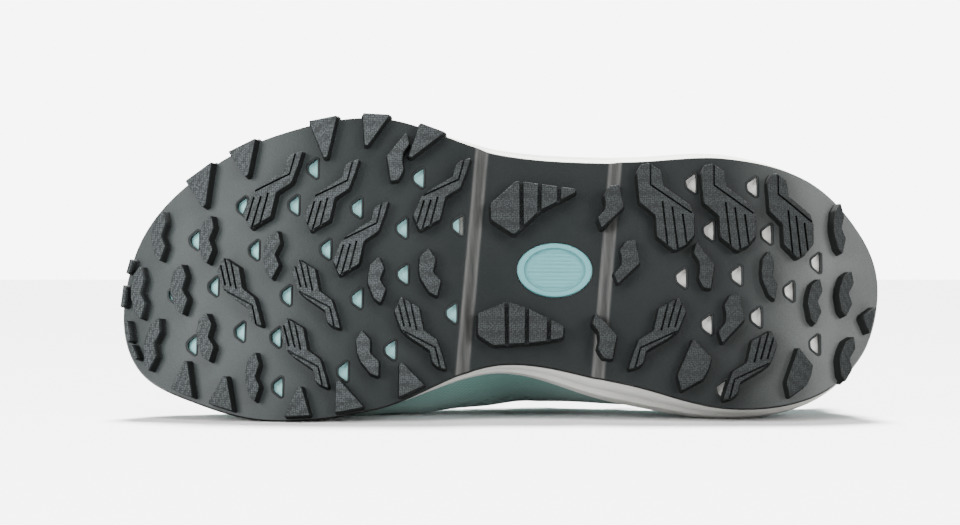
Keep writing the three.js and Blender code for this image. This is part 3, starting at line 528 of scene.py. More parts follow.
def along_shoe(tree, coordinates, stops):
    """Colour by the place from toe to heel. Each stop is a share of the length and a screen colour."""
    parts = node(tree, "ShaderNodeSeparateXYZ")
    connect(tree, coordinates.outputs["Object"], parts.inputs[0])
    place = node(tree, "ShaderNodeMapRange", {"From Min": cad_box[0][0], "From Max": cad_box[1][0]})
    connect(tree, parts.outputs["X"], place.inputs["Value"])
    ramp = node(tree, "ShaderNodeValToRGB")
    ramp.color_ramp.interpolation = "EASE"
    while len(ramp.color_ramp.elements) < len(stops):
        ramp.color_ramp.elements.new(0.5)
    for element, (share, colour) in zip(ramp.color_ramp.elements, stops):
        element.position = share
        element.color = linear(*colour)
    connect(tree, place.outputs[0], ramp.inputs[0])
    return ramp.outputs[0]


# %% [markdown]
# The rubber is one dark compound. Its plate is smooth and satin, and the lugs' ground faces carry a fine
# stipple whose dots are painted lighter than the rubber between them, a painted highlight on the raised
# dots. The smooth faces that look away from the ground, such as the lugs' walls, are painted near-black as
# shade. A ramp from toe to heel gives the slow change of tone, partly the rubber's own and partly a painted
# sheen where the curved rubber faces the lamps, and two pale streaked bands are a painted sheen on the
# sloped steps under the arch.

# %% Rubber
# Painted shade: near-black for the faces that look away from the ground, such as the lugs' walls
WALL_SHADE_COLOUR = (8, 11, 11)
RUBBER_COLOUR = (60, 66, 66)
# Colours and streak stretch of the painted sheen on the sloped steps under the arch
RAMP_SHEEN_DARK, RAMP_SHEEN_PALE = (44, 45, 44), (72, 72, 70)
RAMP_SHEEN_STREAKS = (700, 60, 60)


def stipple_dots(tree, coordinates, pitch):
    """Raised dots of a moulded stipple, 0 to 1: near the middles of slightly uneven cells."""
    cells = node(tree, "ShaderNodeTexVoronoi", {"Scale": 1 / (pitch * MM), "Randomness": 0.45}, feature="F1")
    connect(tree, coordinates.outputs["Object"], cells.inputs["Vector"])
    near = maths(tree, "SUBTRACT", 0.62, cells.outputs["Distance"])
    return maths(tree, "MULTIPLY", near, 2.6, clamp=True)


def standing_place(tree, coordinates, direction):
    """Distance in millimetres of the shaded point along one of the standing directions."""
    offset = node(tree, "ShaderNodeVectorMath", {1: tuple(ORIGIN * MM)}, operation="SUBTRACT")
    connect(tree, coordinates.outputs["Object"], offset.inputs[0])
    dot = node(tree, "ShaderNodeVectorMath", {1: tuple(direction / MM)}, operation="DOT_PRODUCT")
    connect(tree, offset.outputs[0], dot.inputs[0])
    return dot.outputs["Value"]


def ramp_sheen_mask(tree, coordinates, start):
    """1 on a sloped step under the arch, where the painted sheen goes: a window over the ramp's own share,
    with soft borders.
    """
    ahead = standing_place(tree, coordinates, AHEAD)
    slant = maths(tree, "MULTIPLY", standing_place(tree, coordinates, OUTWARD), RAMP_SKEW)
    past = maths(tree, "SUBTRACT", start, maths(tree, "ADD", ahead, slant))
    share = maths(tree, "MULTIPLY", past, 1 / ARCH_RAMP)
    into = maths(tree, "MULTIPLY", maths(tree, "ADD", share, 0.02), 9.0, clamp=True)
    out_of = maths(tree, "MULTIPLY", maths(tree, "SUBTRACT", 1.0, share), 7.0, clamp=True)
    return maths(tree, "MULTIPLY", into, out_of)


def with_ramp_sheen(tree, coordinates, colour):
    """The colour with a painted sheen laid over it on both sloped steps under the arch: pale streaked bands.
    """
    front = ramp_sheen_mask(tree, coordinates, ARCH_FRONT + RAMP_SKEW * FRONT_RAMP_Y)
    back = ramp_sheen_mask(tree, coordinates, ARCH_REAR + ARCH_RAMP + RAMP_SKEW * REAR_RAMP_Y)
    stretch = node(tree, "ShaderNodeMapping", {"Scale": RAMP_SHEEN_STREAKS})
    connect(tree, coordinates.outputs["Object"], stretch.inputs["Vector"])
    streaks = use_group(tree, GRAIN, stretch.outputs[0], Scale=1.0, Contrast=2.2)
    pale = mix_colours(tree, streaks, linear(*RAMP_SHEEN_DARK), linear(*RAMP_SHEEN_PALE))
    band = maths(tree, "MAXIMUM", front, back)
    return mix_colours(tree, maths(tree, "MULTIPLY", band, 0.9), colour, pale)


def rubber(name, stops, roughness, stipple_pitch=0.0, bands=False):
    """Rubber in the tone of its stops, partly painted sheen, with painted shade where a face looks away from
    the ground.
    """
    made, tree, shader, coordinates = finish(name, RUBBER_COLOUR, roughness)
    shader.inputs["Specular IOR Level"].default_value = 0.25
    # Tone from toe to heel: partly the rubber's own tone, partly a painted sheen where the curved rubber
    # faces the lamps
    ground = along_shoe(tree, coordinates, stops)
    fine = grain(tree, coordinates, 1400.0, 1.6)
    cloudy = grain(tree, coordinates, 45.0, 1.4)
    mask = facing_tread(tree, 0.45, 0.75)
    relief = fine
    if stipple_pitch:
        relief = stipple_dots(tree, coordinates, stipple_pitch)
    # Painted highlight: with a stipple, the rubber between the dots is painted much darker, so the raised
    # dots look lit
    darker = node(tree, "ShaderNodeHueSaturation", {"Value": 0.3 if stipple_pitch else 0.75})
    connect(tree, ground, darker.inputs["Color"])
    tone = mix_colours(tree, relief, darker.outputs[0], ground)
    if bands:
        # Painted sheen: pale streaked bands on the sloped steps under the arch
        tone = with_ramp_sheen(tree, coordinates, tone)
    # Painted shade: faces that look away from the ground are painted near-black
    connect(tree, mix_colours(tree, mask, linear(*WALL_SHADE_COLOUR), tone), shader.inputs["Base Color"])
    vary_roughness(tree, shader, cloudy, roughness - 0.06, roughness + 0.08)
    add_bump(tree, shader, maths(tree, "MULTIPLY", relief, mask), 0.16 if stipple_pitch else 0.04)
    return made


# The plate is painted paler at the toe and the heel, partly a painted sheen where it curves towards the lamps
PLATE_RUBBER = rubber("plate rubber", [
    (0.0, (56, 62, 62)), (0.16, (50, 56, 56)), (0.34, (30, 35, 35)), (0.46, (20, 25, 25)),
    (0.62, (20, 25, 25)), (0.78, (22, 26, 26)), (0.93, (72, 75, 74))], 0.42, bands=True)
# The lugs are painted paler towards the toe, partly a painted sheen where the toe spring turns them towards
# the lamps
LUG_RUBBER = rubber("lug rubber", [
    (0.0, (74, 79, 80)), (0.3, (68, 73, 74)), (0.5, (48, 52, 53)), (1.0, (38, 42, 42))], 0.7,
    stipple_pitch=0.8)
RIM_RUBBER = rubber("window rim rubber", [(0.0, (24, 28, 28)), (1.0, (24, 28, 28))], 0.5)


# %% [markdown]
# Foam is moulded, so it has a dull skin with a fine even grain and a soft change of tone. Noise in the
# object's own space gives both, because it has no seam and keeps its size on every piece.

# %% Foam
def foam(name, colour, shadow, roughness=0.62):
    """Foam whose colour clouds over to its shadow tone and pales where the surface bulges."""
    made, tree, shader, coordinates = finish(name, colour, roughness)
    fine = grain(tree, coordinates, 2600.0, 1.8)
    cloudy = grain(tree, coordinates, 30.0, 1.6)
    worn = use_group(tree, WEAR, Strength=3.0)
    tone = mix_colours(tree, maths(tree, "MULTIPLY", cloudy, 0.7), linear(*colour), linear(*shadow))
    edged = mix_colours(tree, maths(tree, "MULTIPLY", worn, 0.5), tone, linear(*paler(colour, 14)))
    connect(tree, edged, shader.inputs["Base Color"])
    vary_roughness(tree, shader, fine, roughness - 0.05, roughness + 0.1)
    add_bump(tree, shader, fine, 0.07)
    return made


WHITE_FOAM = foam("white foam", (220, 219, 214), (212, 211, 206))
TEAL_FOAM = foam("teal foam", (86, 142, 145), (74, 130, 134))
# Painted light: the same teal foam, painted much lighter for the sheet in the shaded windows
TEAL_SHEET_PAINTED_LIGHTER = foam("teal foam sheet painted lighter", (150, 204, 204), (138, 192, 192))


# %% [markdown]
# The upper is an engineered mesh: a tight knit with rows of small holes. The pattern follows the
# surface, so it reads the piece's own UV map, whose unit is one millimetre of cloth.

# %% Cloth
def cloth(name, colour, shadow, pitch, hole_pitch=0.0, hole_shade_colour=(20, 30, 29), depth=0.25, plain=0.0):
    """Weave of the given pitch in millimetres, with holes in staggered rows, painted dark as shade, where
    hole_pitch is set.

    The holes start past a plain band, whose height is in millimetres of cloth.
    """
    made, tree, shader, coordinates = finish(name, colour, 0.85, sheen=0.25)
    surface_uv = coordinates.outputs["UV"]
    woven = use_group(tree, WEAVE, surface_uv, Pitch=pitch)
    fuzz = grain(tree, coordinates, 1500.0, 1.5)
    tone = mix_colours(tree, woven, linear(*shadow), linear(*colour))
    height = maths(tree, "ADD", maths(tree, "MULTIPLY", woven, 0.6), maths(tree, "MULTIPLY", fuzz, 0.2))
    if hole_pitch:
        rows = use_group(tree, WEAVE, surface_uv, Pitch=hole_pitch)
        hole = maths(tree, "MULTIPLY", maths(tree, "SUBTRACT", rows, 0.8), 9.0, clamp=True)
        parts = node(tree, "ShaderNodeSeparateXYZ")
        connect(tree, surface_uv, parts.inputs[0])
        above = maths(tree, "SUBTRACT", parts.outputs["Y"], plain)
        hole = maths(tree, "MULTIPLY", hole, maths(tree, "MULTIPLY", above, 0.12, clamp=True))
        # Painted shade: the holes of the mesh are painted dark, for the shade inside them
        tone = mix_colours(tree, hole, tone, linear(*hole_shade_colour))
        height = maths(tree, "SUBTRACT", height, hole)
    connect(tree, tone, shader.inputs["Base Color"])
    vary_roughness(tree, shader, fuzz, 0.75, 0.95)
    add_bump(tree, shader, height, depth)
    return made


KNIT = cloth("upper mesh", (112, 158, 150), (96, 141, 134), 0.9, hole_pitch=3.6, hole_shade_colour=(48, 80, 76),
             plain=28.0)
TONGUE_KNIT = cloth("tongue mesh", (92, 126, 120), (72, 102, 97), 0.8, hole_pitch=2.4, plain=-20.0)
LINING = cloth("lining", (120, 132, 130), (96, 108, 106), 0.7, depth=0.15)
WEBBING = cloth("webbing", (128, 150, 148), (82, 104, 102), 1.1, depth=0.35)
LACE_CLOTH = cloth("lace braid", (168, 182, 178), (118, 134, 130), 0.8, depth=0.3)
THREAD = cloth("stitching thread", (150, 168, 165), (110, 130, 127), 0.3, depth=0.05)


# %% [markdown]
# Toe cap, counter and eyestays are a thin film pressed on the mesh: smoother, darker and a little glossy.
# Soft cells as a bump stand for its pebbled skin, because at this size only its sheen shows.

# %% Film and eyelet rings
def film(name, colour, shadow, roughness, coat):
    """Film with a fine pebble, in clouds of its colour and its shadow tone, paler where it bulges."""
    made, tree, shader, coordinates = finish(name, colour, roughness, coat)
    pebble = node(tree, "ShaderNodeTexVoronoi", {"Scale": 700.0}, feature="SMOOTH_F1")
    connect(tree, coordinates.outputs["Object"], pebble.inputs["Vector"])
    cloudy = grain(tree, coordinates, 60.0, 1.4)
    worn = use_group(tree, WEAR, Strength=5.0)
    tone = mix_colours(tree, cloudy, linear(*shadow), linear(*colour))
    edged = mix_colours(tree, maths(tree, "MULTIPLY", worn, 0.4), tone, linear(*paler(colour, 40)))
    connect(tree, edged, shader.inputs["Base Color"])
    vary_roughness(tree, shader, cloudy, roughness - 0.06, roughness + 0.1)
    add_bump(tree, shader, pebble.outputs["Distance"], 0.08)
    return made


FILM = film("overlay film", (84, 124, 118), (72, 110, 104), 0.45, 0.15)
RING_FILM = film("eyelet ring", (46, 66, 64), (38, 56, 54), 0.4, 0.2)
# Painted shade: near-black for the cup that closes each eyelet's bore
HOLE_SHADE = film("eyelet hole shade", (12, 16, 16), (8, 10, 10), 0.8, 0.0)
print("materials made:", len(bpy.data.materials))

# %% [markdown]
# The rubber plate is a sheet over the sole's outline. Rows run along the shoe and columns across it, and
# the edge columns lie a little inside, so the border is chamfered.

# %% Rubber plate
TIP = 0.004
CHAMFER = 0.5


def sole_rows(count, start=TIP, stop=1 - TIP):
    """Evenly spaced places w from heel to toe, a little short of both tips."""
    return np.linspace(start, stop, count)


def sole_grid(rows, columns, out, height):
    """Grid over the sole: each row is a straight line from inner to outer edge, moved out by out(w)."""
    inner = edge_point(2 - rows, out(2 - rows))
    outer = edge_point(rows, out(rows))
    share = (columns + 1)[None, :, None] / 2
    flat = inner[:, None] * (1 - share) + outer[:, None] * share
    return np.concatenate([flat, height(flat[..., 0], flat[..., 1])[..., None]], -1)


plate_rows = sole_rows(400)
plate_columns = np.linspace(-1, 1, 25)
plate_low = sole_grid(plate_rows, plate_columns, lambda w: -CHAMFER + 0 * w, plate_bottom)
plate_high = sole_grid(plate_rows, plate_columns, lambda w: 0 * w, lambda x, y: plate_bottom(x, y) + PLATE)
plate = new_piece("outsole_plate", two_sheets(plate_low, plate_high), [PLATE_RUBBER],
                  replaces=["outsole"], sharp=35)

# %% [markdown]
# Lugs are outlines drawn in shares of their own size, first towards the heel and then outwards. Each is
# carried down a short profile: rounded crown, sloped wall and a fillet where it meets the plate.

# %% Outlines of the tread pieces
TOPS = {
    "zigzag": [[0.14, 0.5], [0.42, 0.25], [0.19, 0], [0.53, -0.2], [0.25, -0.5], [-0.1, -0.4], [-0.44, -0.08],
               [-0.45, 0.1], [-0.32, 0.34]],
    "claw": [[0.5, 0.5], [0.33, 0.46], [0.24, 0.4], [0.19, 0.24], [-0.22, 0.05], [-0.36, -0.04], [-0.5, -0.3],
             [-0.38, -0.5], [-0.2, -0.42], [-0.03, -0.35], [0.06, -0.04], [0.32, 0.09], [0.43, 0.32]],
    "bend": [[-0.04, 0.47], [0.31, 0.5], [0.5, -0.02], [-0.35, -0.5], [-0.5, -0.27], [-0.23, -0.09],
             [-0.19, 0.09], [-0.27, 0.27]],
    "heel_claw": [[-0.43, 0.48], [-0.28, 0.5], [-0.08, 0.41], [-0.03, 0.23], [0.43, 0.02], [0.5, -0.1],
                  [0.5, -0.33], [0.34, -0.44], [0.15, -0.5], [-0.15, -0.34], [-0.17, -0.1], [-0.45, 0.05],
                  [-0.5, 0.39]],
    "pentagon": [[-0.03, 0.5], [0.5, 0.14], [0.41, -0.08], [0.24, -0.27], [-0.38, -0.5], [-0.5, -0.2]],
    "arch_outer": [[-0.5, 0.07], [-0.2, 0.5], [0.5, 0.36], [0.49, 0.29], [0.08, -0.04], [-0.22, -0.5],
                   [-0.49, -0.23]],
    "arch_inner": [[-0.17, 0.5], [0.07, 0.36], [0.3, 0.14], [0.5, -0.05], [0.49, -0.32], [0.2, -0.42],
                   [-0.32, -0.5], [-0.5, -0.27], [-0.5, 0.23], [-0.33, 0.36]],
    "window": [[0.5, 0.5], [-0.4, 0.14], [-0.32, -0.18], [0.5, -0.5]],
}
# Columns: kind, place along and across, tall, wide, and where they aren't 0 the turn in degrees, mirrored
# along and mirrored across
LUGS = [
    ("zigzag", 0.951, 0.24, 0.333, 0.1, 4), ("zigzag", 0.885, 0.2, 0.317, 0.1, 6),
    ("zigzag", 0.797, 0.09, 0.317, 0.117, 8), ("zigzag", 0.978, -0.13, 0.35, 0.1),
    ("zigzag", 0.921, -0.12, 0.333, 0.117), ("zigzag", 0.884, -0.44, 0.317, 0.117, -2),
    ("zigzag", 0.957, -0.47, 0.35, 0.1, 12), ("zigzag", 0.819, -0.7, 0.317, 0.1, 2),
    ("zigzag", 0.659, -0.08, 0.3, 0.117), ("zigzag", 0.67, -0.56, 0.317, 0.117, -18),
    ("zigzag", 0.591, -0.03, 0.317, 0.133, -8), ("bend", 0.633, 0.72, 0.317, 0.142, 0, 1, 1),
    ("bend", 0.355, 0.41, 0.283, 0.167), ("bend", 0.334, 0.05, 0.283, 0.167),
    ("bend", 0.363, -0.43, 0.3, 0.158, 0, 0, 1), ("bend", 0.234, 0.03, 0.3, 0.133, 0, 0, 1),
    ("bend", 0.199, -0.31, 0.317, 0.167), ("zigzag", 0.15, -0.03, 0.317, 0.1, -4),
    ("zigzag", 0.09, -0.19, 0.3, 0.1, 8), ("zigzag", 0.048, -0.13, 0.3, 0.1, 10),
    ("zigzag", 0.056, 0.29, 0.333, 0.083), ("zigzag", 0.048, -0.55, 0.3, 0.1, 14),
    ("claw", 0.797, 0.51, 0.5, 0.383), ("claw", 0.719, 0.47, 0.467, 0.35),
    ("claw", 0.68, 0.19, 0.483, 0.35), ("claw", 0.575, 0.48, 0.475, 0.367),
    ("claw", 0.838, -0.15, 0.45, 0.3, 0, 0, 1), ("claw", 0.737, -0.17, 0.45, 0.317, 0, 0, 1),
    ("claw", 0.751, -0.55, 0.45, 0.317, 0, 0, 1), ("claw", 0.601, -0.42, 0.467, 0.333, 0, 0, 1),
    ("heel_claw", 0.284, 0.41, 0.567, 0.367), ("heel_claw", 0.202, 0.41, 0.567, 0.35),
    ("heel_claw", 0.121, 0.36, 0.55, 0.3), ("claw", 0.295, -0.41, 0.467, 0.367, 0, 1, 1),
    ("claw", 0.175, -0.61, 0.45, 0.35, 0, 1, 1), ("pentagon", 0.247, -0.61, 0.333, 0.217),
    ("pentagon", 0.111, -0.65, 0.317, 0.175), ("arch_outer", 0.456, 0.4, 0.35, 0.55),
    ("arch_inner", 0.471, -0.35, 0.283, 0.55),
]
# Columns: place along, side (1 outer, -1 inner), wide, deep, lean of the tip towards the toe
WEDGES = [
    (0.897, 1, 0.21, 0.215, 0.45), (0.839, 1, 0.197, 0.2, 0.27), (0.732, 1, 0.186, 0.257, 0.15),
    (0.662, 1, 0.175, 0.21, 0.3), (0.5885, 1, 0.17, 0.233, 0.4), (0.915, -1, 0.155, 0.2, 0.35),
    (0.862, -1, 0.17, 0.195, 0.19), (0.759, -1, 0.167, 0.185, -0.15), (0.69, -1, 0.183, 0.195, 0.22),
    (0.609, -1, 0.18, 0.19, -0.05), (0.006, -1, 0.183, 0.067, 0.0), (0.9914, 1, 0.1, 0.022, 0.0),
    (0.9988, 1, 0.15, 0.022, 0.0), (0.9975, -1, 0.15, 0.022, 0.0), (0.988, -1, 0.11, 0.022, 0.0),
]
# Columns: place along and across
WINDOWS = [
    (0.844, 0.42), (0.909, 0.21), (0.826, 0.13), (0.773, 0.42), (0.729, 0.13), (0.688, 0.4), (0.748, 0.66),
    (0.628, 0.27), (0.607, 0.6), (0.555, 0.29), (0.626, -0.03), (0.881, -0.1), (0.938, -0.14),
    (0.781, -0.17), (0.686, -0.19), (0.843, -0.4), (0.909, -0.48), (0.794, -0.44), (0.703, -0.66),
    (0.79, -0.76), (0.641, -0.52), (0.562, -0.28), (0.25, 0.58), (0.227, 0.27), (0.17, 0.56),
    (0.151, 0.25), (0.263, -0.04), (0.191, -0.02), (0.23, -0.34), (0.166, -0.29), (0.121, -0.12),
    (0.211, -0.76), (0.086, -0.46), (0.083, 0.07),
]
WINDOW_TALL, WINDOW_WIDE = 0.135, 0.07
OUTER_WEDGE_OUT, INNER_WEDGE_OUT = 0.3, -1.5
NUB_DEPTH, NUB_TIP, WEDGE_TIP = 0.05, 0.42, 0.06


def placed(shape, along, across, tall, wide, turn=0.0, flip_heel=0, flip_side=0):
    """Unit outline to standing x and y: scaled by wide and tall, mirrored, turned and set in its place."""
    shape = np.asarray(shape, float)
    angle = math.radians(turn)
    back = shape[:, 0] * wide * HALF * (1 - 2 * flip_heel)
    side = shape[:, 1] * tall * HALF * (1 - 2 * flip_side)
    x = along * LENGTH - back * math.cos(angle) - side * math.sin(angle)
    y = across * HALF - back * math.sin(angle) + side * math.cos(angle)
    return np.stack([x, y], -1)


def wedge_corners(along, side, wide, deep, lean):
    """Tapered piece on the sole's edge: wide on the outline, with a narrow tip that leans to the toe.

    The lean is a share of its width. A nub is so shallow that its tip stays nearly as wide as its foot.
    """
    v = math.acos(1 - 2 * along) / math.pi
    point, outward = edge_frame(np.array(v if side > 0 else 2 - v))
    point = point + outward * (OUTER_WEDGE_OUT if side > 0 else INNER_WEDGE_OUT)
    run_along = np.array([-outward[1], outward[0]])
    tip = -side * lean
    half_tip = NUB_TIP if deep < NUB_DEPTH else WEDGE_TIP
    corners = np.array([[-0.5, 0], [0.5, 0], [tip + half_tip, 1], [tip - half_tip, 1]])
    return point + corners[:, :1] * wide * HALF * run_along - corners[:, 1:] * deep * HALF * outward


MOST_ROUND = 0.42


def rounded(corners, radius, steps=4):
    """Outline with each corner replaced by a quadratic curve that starts radius before it, turning left."""
    area = np.cross(corners, np.roll(corners, -1, 0)).sum()
    corners = corners if area > 0 else corners[::-1]
    before = np.roll(corners, 1, 0) - corners
    after = np.roll(corners, -1, 0) - corners
    share = [np.minimum(radius / np.linalg.norm(leg, axis=1, keepdims=True), MOST_ROUND)
             for leg in (before, after)]
    start = corners + before * share[0]
    stop = corners + after * share[1]
    t = np.linspace(0, 1, steps)[None, :, None]
    curve = (1 - t) ** 2 * start[:, None] + 2 * t * (1 - t) * corners[:, None] + t ** 2 * stop[:, None]
    return curve.reshape(-1, 2)


def outline_normals(ring):
    """Directions out of a ring of points that runs to the left: square to the line of its neighbours."""
    along = unit(np.roll(ring, -1, 0) - np.roll(ring, 1, 0))
    return np.stack([along[:, 1], -along[:, 0]], -1)


def carried(ring, profile, crown=0.0):
    """Rings of points: the outline grown by each profile step and sunk to its depth.

    A depth of 0 is the ground line, lowered into the shoe by crown, and 1 the plate's face under it.
    """
    depth, grow = np.array(profile).T
    flat = ring[None] + grow[:, None, None] * outline_normals(ring)[None]
    x, y = flat[..., 0], flat[..., 1]
    up = unit(np.stack([-tread_slope(ring[:, 0]), 0 * ring[:, 0], np.ones(len(ring))], -1))
    full = plate_bottom(x, y) - tread(x)
    sink = crown + depth[:, None] * (full - crown)
    return np.concatenate([flat, tread(x)[..., None]], -1) + sink[..., None] * up[None]


def closed_block(rings, first=0):
    """Points and faces of stacked rings whose first and last are filled."""
    count, size = rings.shape[:2]
    cap = np.arange(size)[None]
    faces = [grid_faces(count, size, wrap_columns=True, first=first), cap + first,
             cap + first + (count - 1) * size]
    return rings.reshape(-1, 3), faces


def joined(blocks):
    """Many blocks of rings as one list of points and one list of face groups."""
    points, groups, first = [], [], 0
    for rings in blocks:
        block_points, faces = closed_block(rings, first)
        points.append(block_points)
        groups.extend(faces)
        first += len(block_points)
    return np.concatenate(points), groups


# Columns: depth as a share from ground line to plate, and outward growth in millimetres
LUG_PROFILE = [(0.0, -0.2), (0.01, -0.06), (0.035, 0.0), (0.5, 0.2), (0.9, 0.4), (0.98, 0.55), (1.03, 0.9),
               (1.15, 1.0)]
SHARP_EDGE = 50


def is_pad(kind):
    """Whether a kind in the table is one of the two broad pads under the arch."""
    return kind.startswith("arch")


lug_blocks = [carried(rounded(placed(TOPS[kind], *place), 0.6), LUG_PROFILE)
              for kind, *place in LUGS if not is_pad(kind)]
lug_blocks += [carried(rounded(wedge_corners(*row), 0.5), LUG_PROFILE) for row in WEDGES]
pad_blocks = [carried(rounded(placed(TOPS[kind], *place), 1.0), LUG_PROFILE, crown=PAD_DROP)
              for kind, *place in LUGS if is_pad(kind)]
lugs = new_piece("lugs", joined(lug_blocks), [LUG_RUBBER], sharp=SHARP_EDGE)
pads = new_piece("arch_pads", joined(pad_blocks), [LUG_RUBBER], sharp=SHARP_EDGE)

# %% [markdown]
# Claw lugs are split into fingers by narrow slots, and the arch pads carry wider ones. A slot is a strip
# along a short line, and a Boolean takes all of them out at once.

# %% Cutting with strips and prisms
# Slots in shares of the lug's own size: first the bent one between the two strips, then the fingers
SLOTS = {
    "claw": [[[0.4, 0.52], [0.29, 0.2], [-0.34, -0.03]], [[-0.31, -0.09], [-0.46, -0.49]],
             [[-0.19, -0.08], [-0.36, -0.55]], [[-0.07, -0.04], [-0.21, -0.47]]],
    "heel_claw": [[[-0.26, 0.55], [-0.26, 0.25], [0.46, -0.07]], [[-0.05, 0.06], [0.04, -0.47]],
                  [[0.12, 0.0], [0.23, -0.56]], [[0.3, -0.08], [0.39, -0.52]]],
    "arch_outer": [[[-0.14, 0.6], [-0.13, -0.6]], [[0.08, 0.6], [0.07, -0.2]], [[0.31, 0.6], [0.3, 0.05]]],
    "arch_inner": [[[-0.17, 0.6], [-0.16, -0.6]], [[0.07, 0.6], [0.07, -0.6]], [[0.33, 0.3], [0.32, -0.6]]],
}
SLOT_WIDTH = {"claw": 0.75, "heel_claw": 0.75, "arch_outer": 1.7, "arch_inner": 1.7}
SLOT_DEPTH, PAD_SLOT_DEPTH = 0.42, 0.62
SLOT_START = -0.3
SOLVER = "MANIFOLD"


def strip_outline(line, width):
    """Outline of a line with a width: the line moved to one side, then back along the other side."""
    run_along = unit(np.gradient(line, axis=0))
    side = np.stack([-run_along[:, 1], run_along[:, 0]], -1) * width / 2
    return np.concatenate([line + side, (line - side)[::-1]])


def prism(ring, low, high):
    """Two rings of the outline, from low to high as shares from the ground line to the plate."""
    return carried(ring, [(low, 0.0), (high, 0.0)])


def in_triangles(mesh):
    """Splits every face into triangles, which are flat, so that a Boolean can trust them."""
    edited(mesh, lambda work: bmesh.ops.triangulate(work, faces=work.faces))


def new_cutter(blocks):
    """Object of closed blocks that a Boolean takes out of a piece."""
    points, faces = joined(blocks)
    mesh, _ = mesh_from("cutter", to_scene(points), faces)
    face_out(mesh, 30)
    in_triangles(mesh)
    return linked("cutter", mesh)


def carve(piece, blocks, sharp):
    """Takes closed blocks out of a piece with a Boolean and keeps the result as the piece's mesh."""
    cutter = new_cutter(blocks)
    in_triangles(piece.data)
    cut = piece.modifiers.new("cut", "BOOLEAN")
    cut.object = cutter
    cut.operation = "DIFFERENCE"
    cut.solver = SOLVER
    whole = piece.evaluated_get(bpy.context.evaluated_depsgraph_get())
    carved = bpy.data.meshes.new_from_object(whole)
    piece.modifiers.clear()
    old = piece.data
    piece.data = carved
    bpy.data.objects.remove(cutter)
    bpy.data.meshes.remove(old)
    shade(carved, sharp)
    print(piece.name, "after cutting:", len(carved.polygons), "faces")


def slots_of(pads_only, some, depth):
    """Strips along the chosen slot lines of the pads, or of the claws, down to a share of their height."""
    return [prism(strip_outline(placed(line, *place), SLOT_WIDTH[kind]), SLOT_START, depth)
            for kind, *place in LUGS if kind in SLOTS and is_pad(kind) == pads_only
            for line in SLOTS[kind][some]]


carve(lugs, slots_of(False, slice(0, 1), SLOT_DEPTH), SHARP_EDGE)
carve(lugs, slots_of(False, slice(1, None), SLOT_DEPTH), SHARP_EDGE)
carve(pads, slots_of(True, slice(None), PAD_SLOT_DEPTH), SHARP_EDGE)

# %% [markdown]
# The tread has small windows that show the foam behind the rubber, and an oval seat for the inset under
# the arch. Both are prisms cut through the plate. A window's raised lip is a ring carried round its edge.

# %% Windows and the inset's seat
INSET_X, INSET_Y = 0.427 * LENGTH, 0.01 * HALF
INSET_LONG, INSET_WIDE = 29.0, 21.0
GAP = 0.3


def oval(share, grow=0.0, count=96):
    """Ellipse around the inset's middle: half sizes times share, plus grow."""
    angle = round_angles(count)
    x = INSET_X + (share * INSET_LONG / 2 + grow) * np.cos(angle)
    y = INSET_Y + (share * INSET_WIDE / 2 + grow) * np.sin(angle)
    return np.stack([x, y], -1)


window_rings = [rounded(placed(TOPS["window"], along, across, WINDOW_TALL, WINDOW_WIDE), 0.9)
                for along, across in WINDOWS]
holes = [prism(ring, 0.6, 1.6) for ring in window_rings]
holes.append(prism(oval(1.0, GAP), 0.6, 1.5))
carve(plate, holes, 35)

# Columns of a window's thin raised lip: depth as a share from ground line to plate, growth in millimetres
LIP_PROFILE = [(1.1, 0.0), (0.96, 0.02), (0.93, 0.15), (0.92, 0.45), (0.94, 0.75), (1.02, 0.95), (1.1, 1.0)]
lips = np.stack([carried(ring, LIP_PROFILE) for ring in window_rings])
lip_faces = [grid_faces(*lips.shape[1:3], wrap_rows=True, wrap_columns=True, first=first)
             for first in np.arange(len(lips)) * lips[0, ..., 0].size]
new_piece("window_lips", (lips, lip_faces), [RIM_RUBBER], sharp=60)

# %% [markdown]
# Under the arch sits an oval inset of teal foam with a raised rim and plain ribs. It is a polar grid:
# rings from the middle outwards, whose height is a function of the place.

# %% Inset under the arch
INSET_RISE, INSET_PAN, INSET_RIM = 1.2, 1.4, 2.2
RIB_PITCH, RIB_HEIGHT = 3.0, 0.55


def inset_surface():
    """Rings of the inset: a pan with rounded ribs, a raised rim and a wall down into the plate.

    The ribs are a raised cosine across the shoe, cut off above and below, and they fade out before the rim.
    """
    floor = plate_bottom(INSET_X, INSET_Y)
    rim_start = 1 - 2 * INSET_RIM / INSET_WIDE
    shares = np.concatenate([np.linspace(0.02, rim_start, 30), np.linspace(rim_start + 0.015, 1, 10)])
    flat = np.stack([oval(share) for share in shares])
    across = flat[..., 1] - INSET_Y
    in_pan = ease((rim_start - 0.04 - shares) / 0.06)[:, None]
    ribs = np.clip(np.cos(2 * np.pi * across / RIB_PITCH) + 0.35, 0, 1) * RIB_HEIGHT * in_pan
    rim = ease((shares - rim_start) / 0.03) * (1 - 0.35 * ease((shares - 0.965) / 0.035))
    height = floor - INSET_RISE + INSET_PAN * (1 - rim)[:, None] - ribs
    top = np.concatenate([flat, height[..., None]], -1)
    foot = np.concatenate([flat[-1:], np.full((1, flat.shape[1], 1), floor + PLATE)], -1)
    return np.concatenate([top, foot])


new_piece("arch_inset_fine", closed_block(inset_surface()), [TEAL_FOAM],
          replaces=["arch_inset"])

# %% [markdown]
# The midsole is one closed section, a ring of points in each row: bottom, outer side, top, inner side.
# The side goes from the rubber's edge out to the flare, with one soft groove along it.

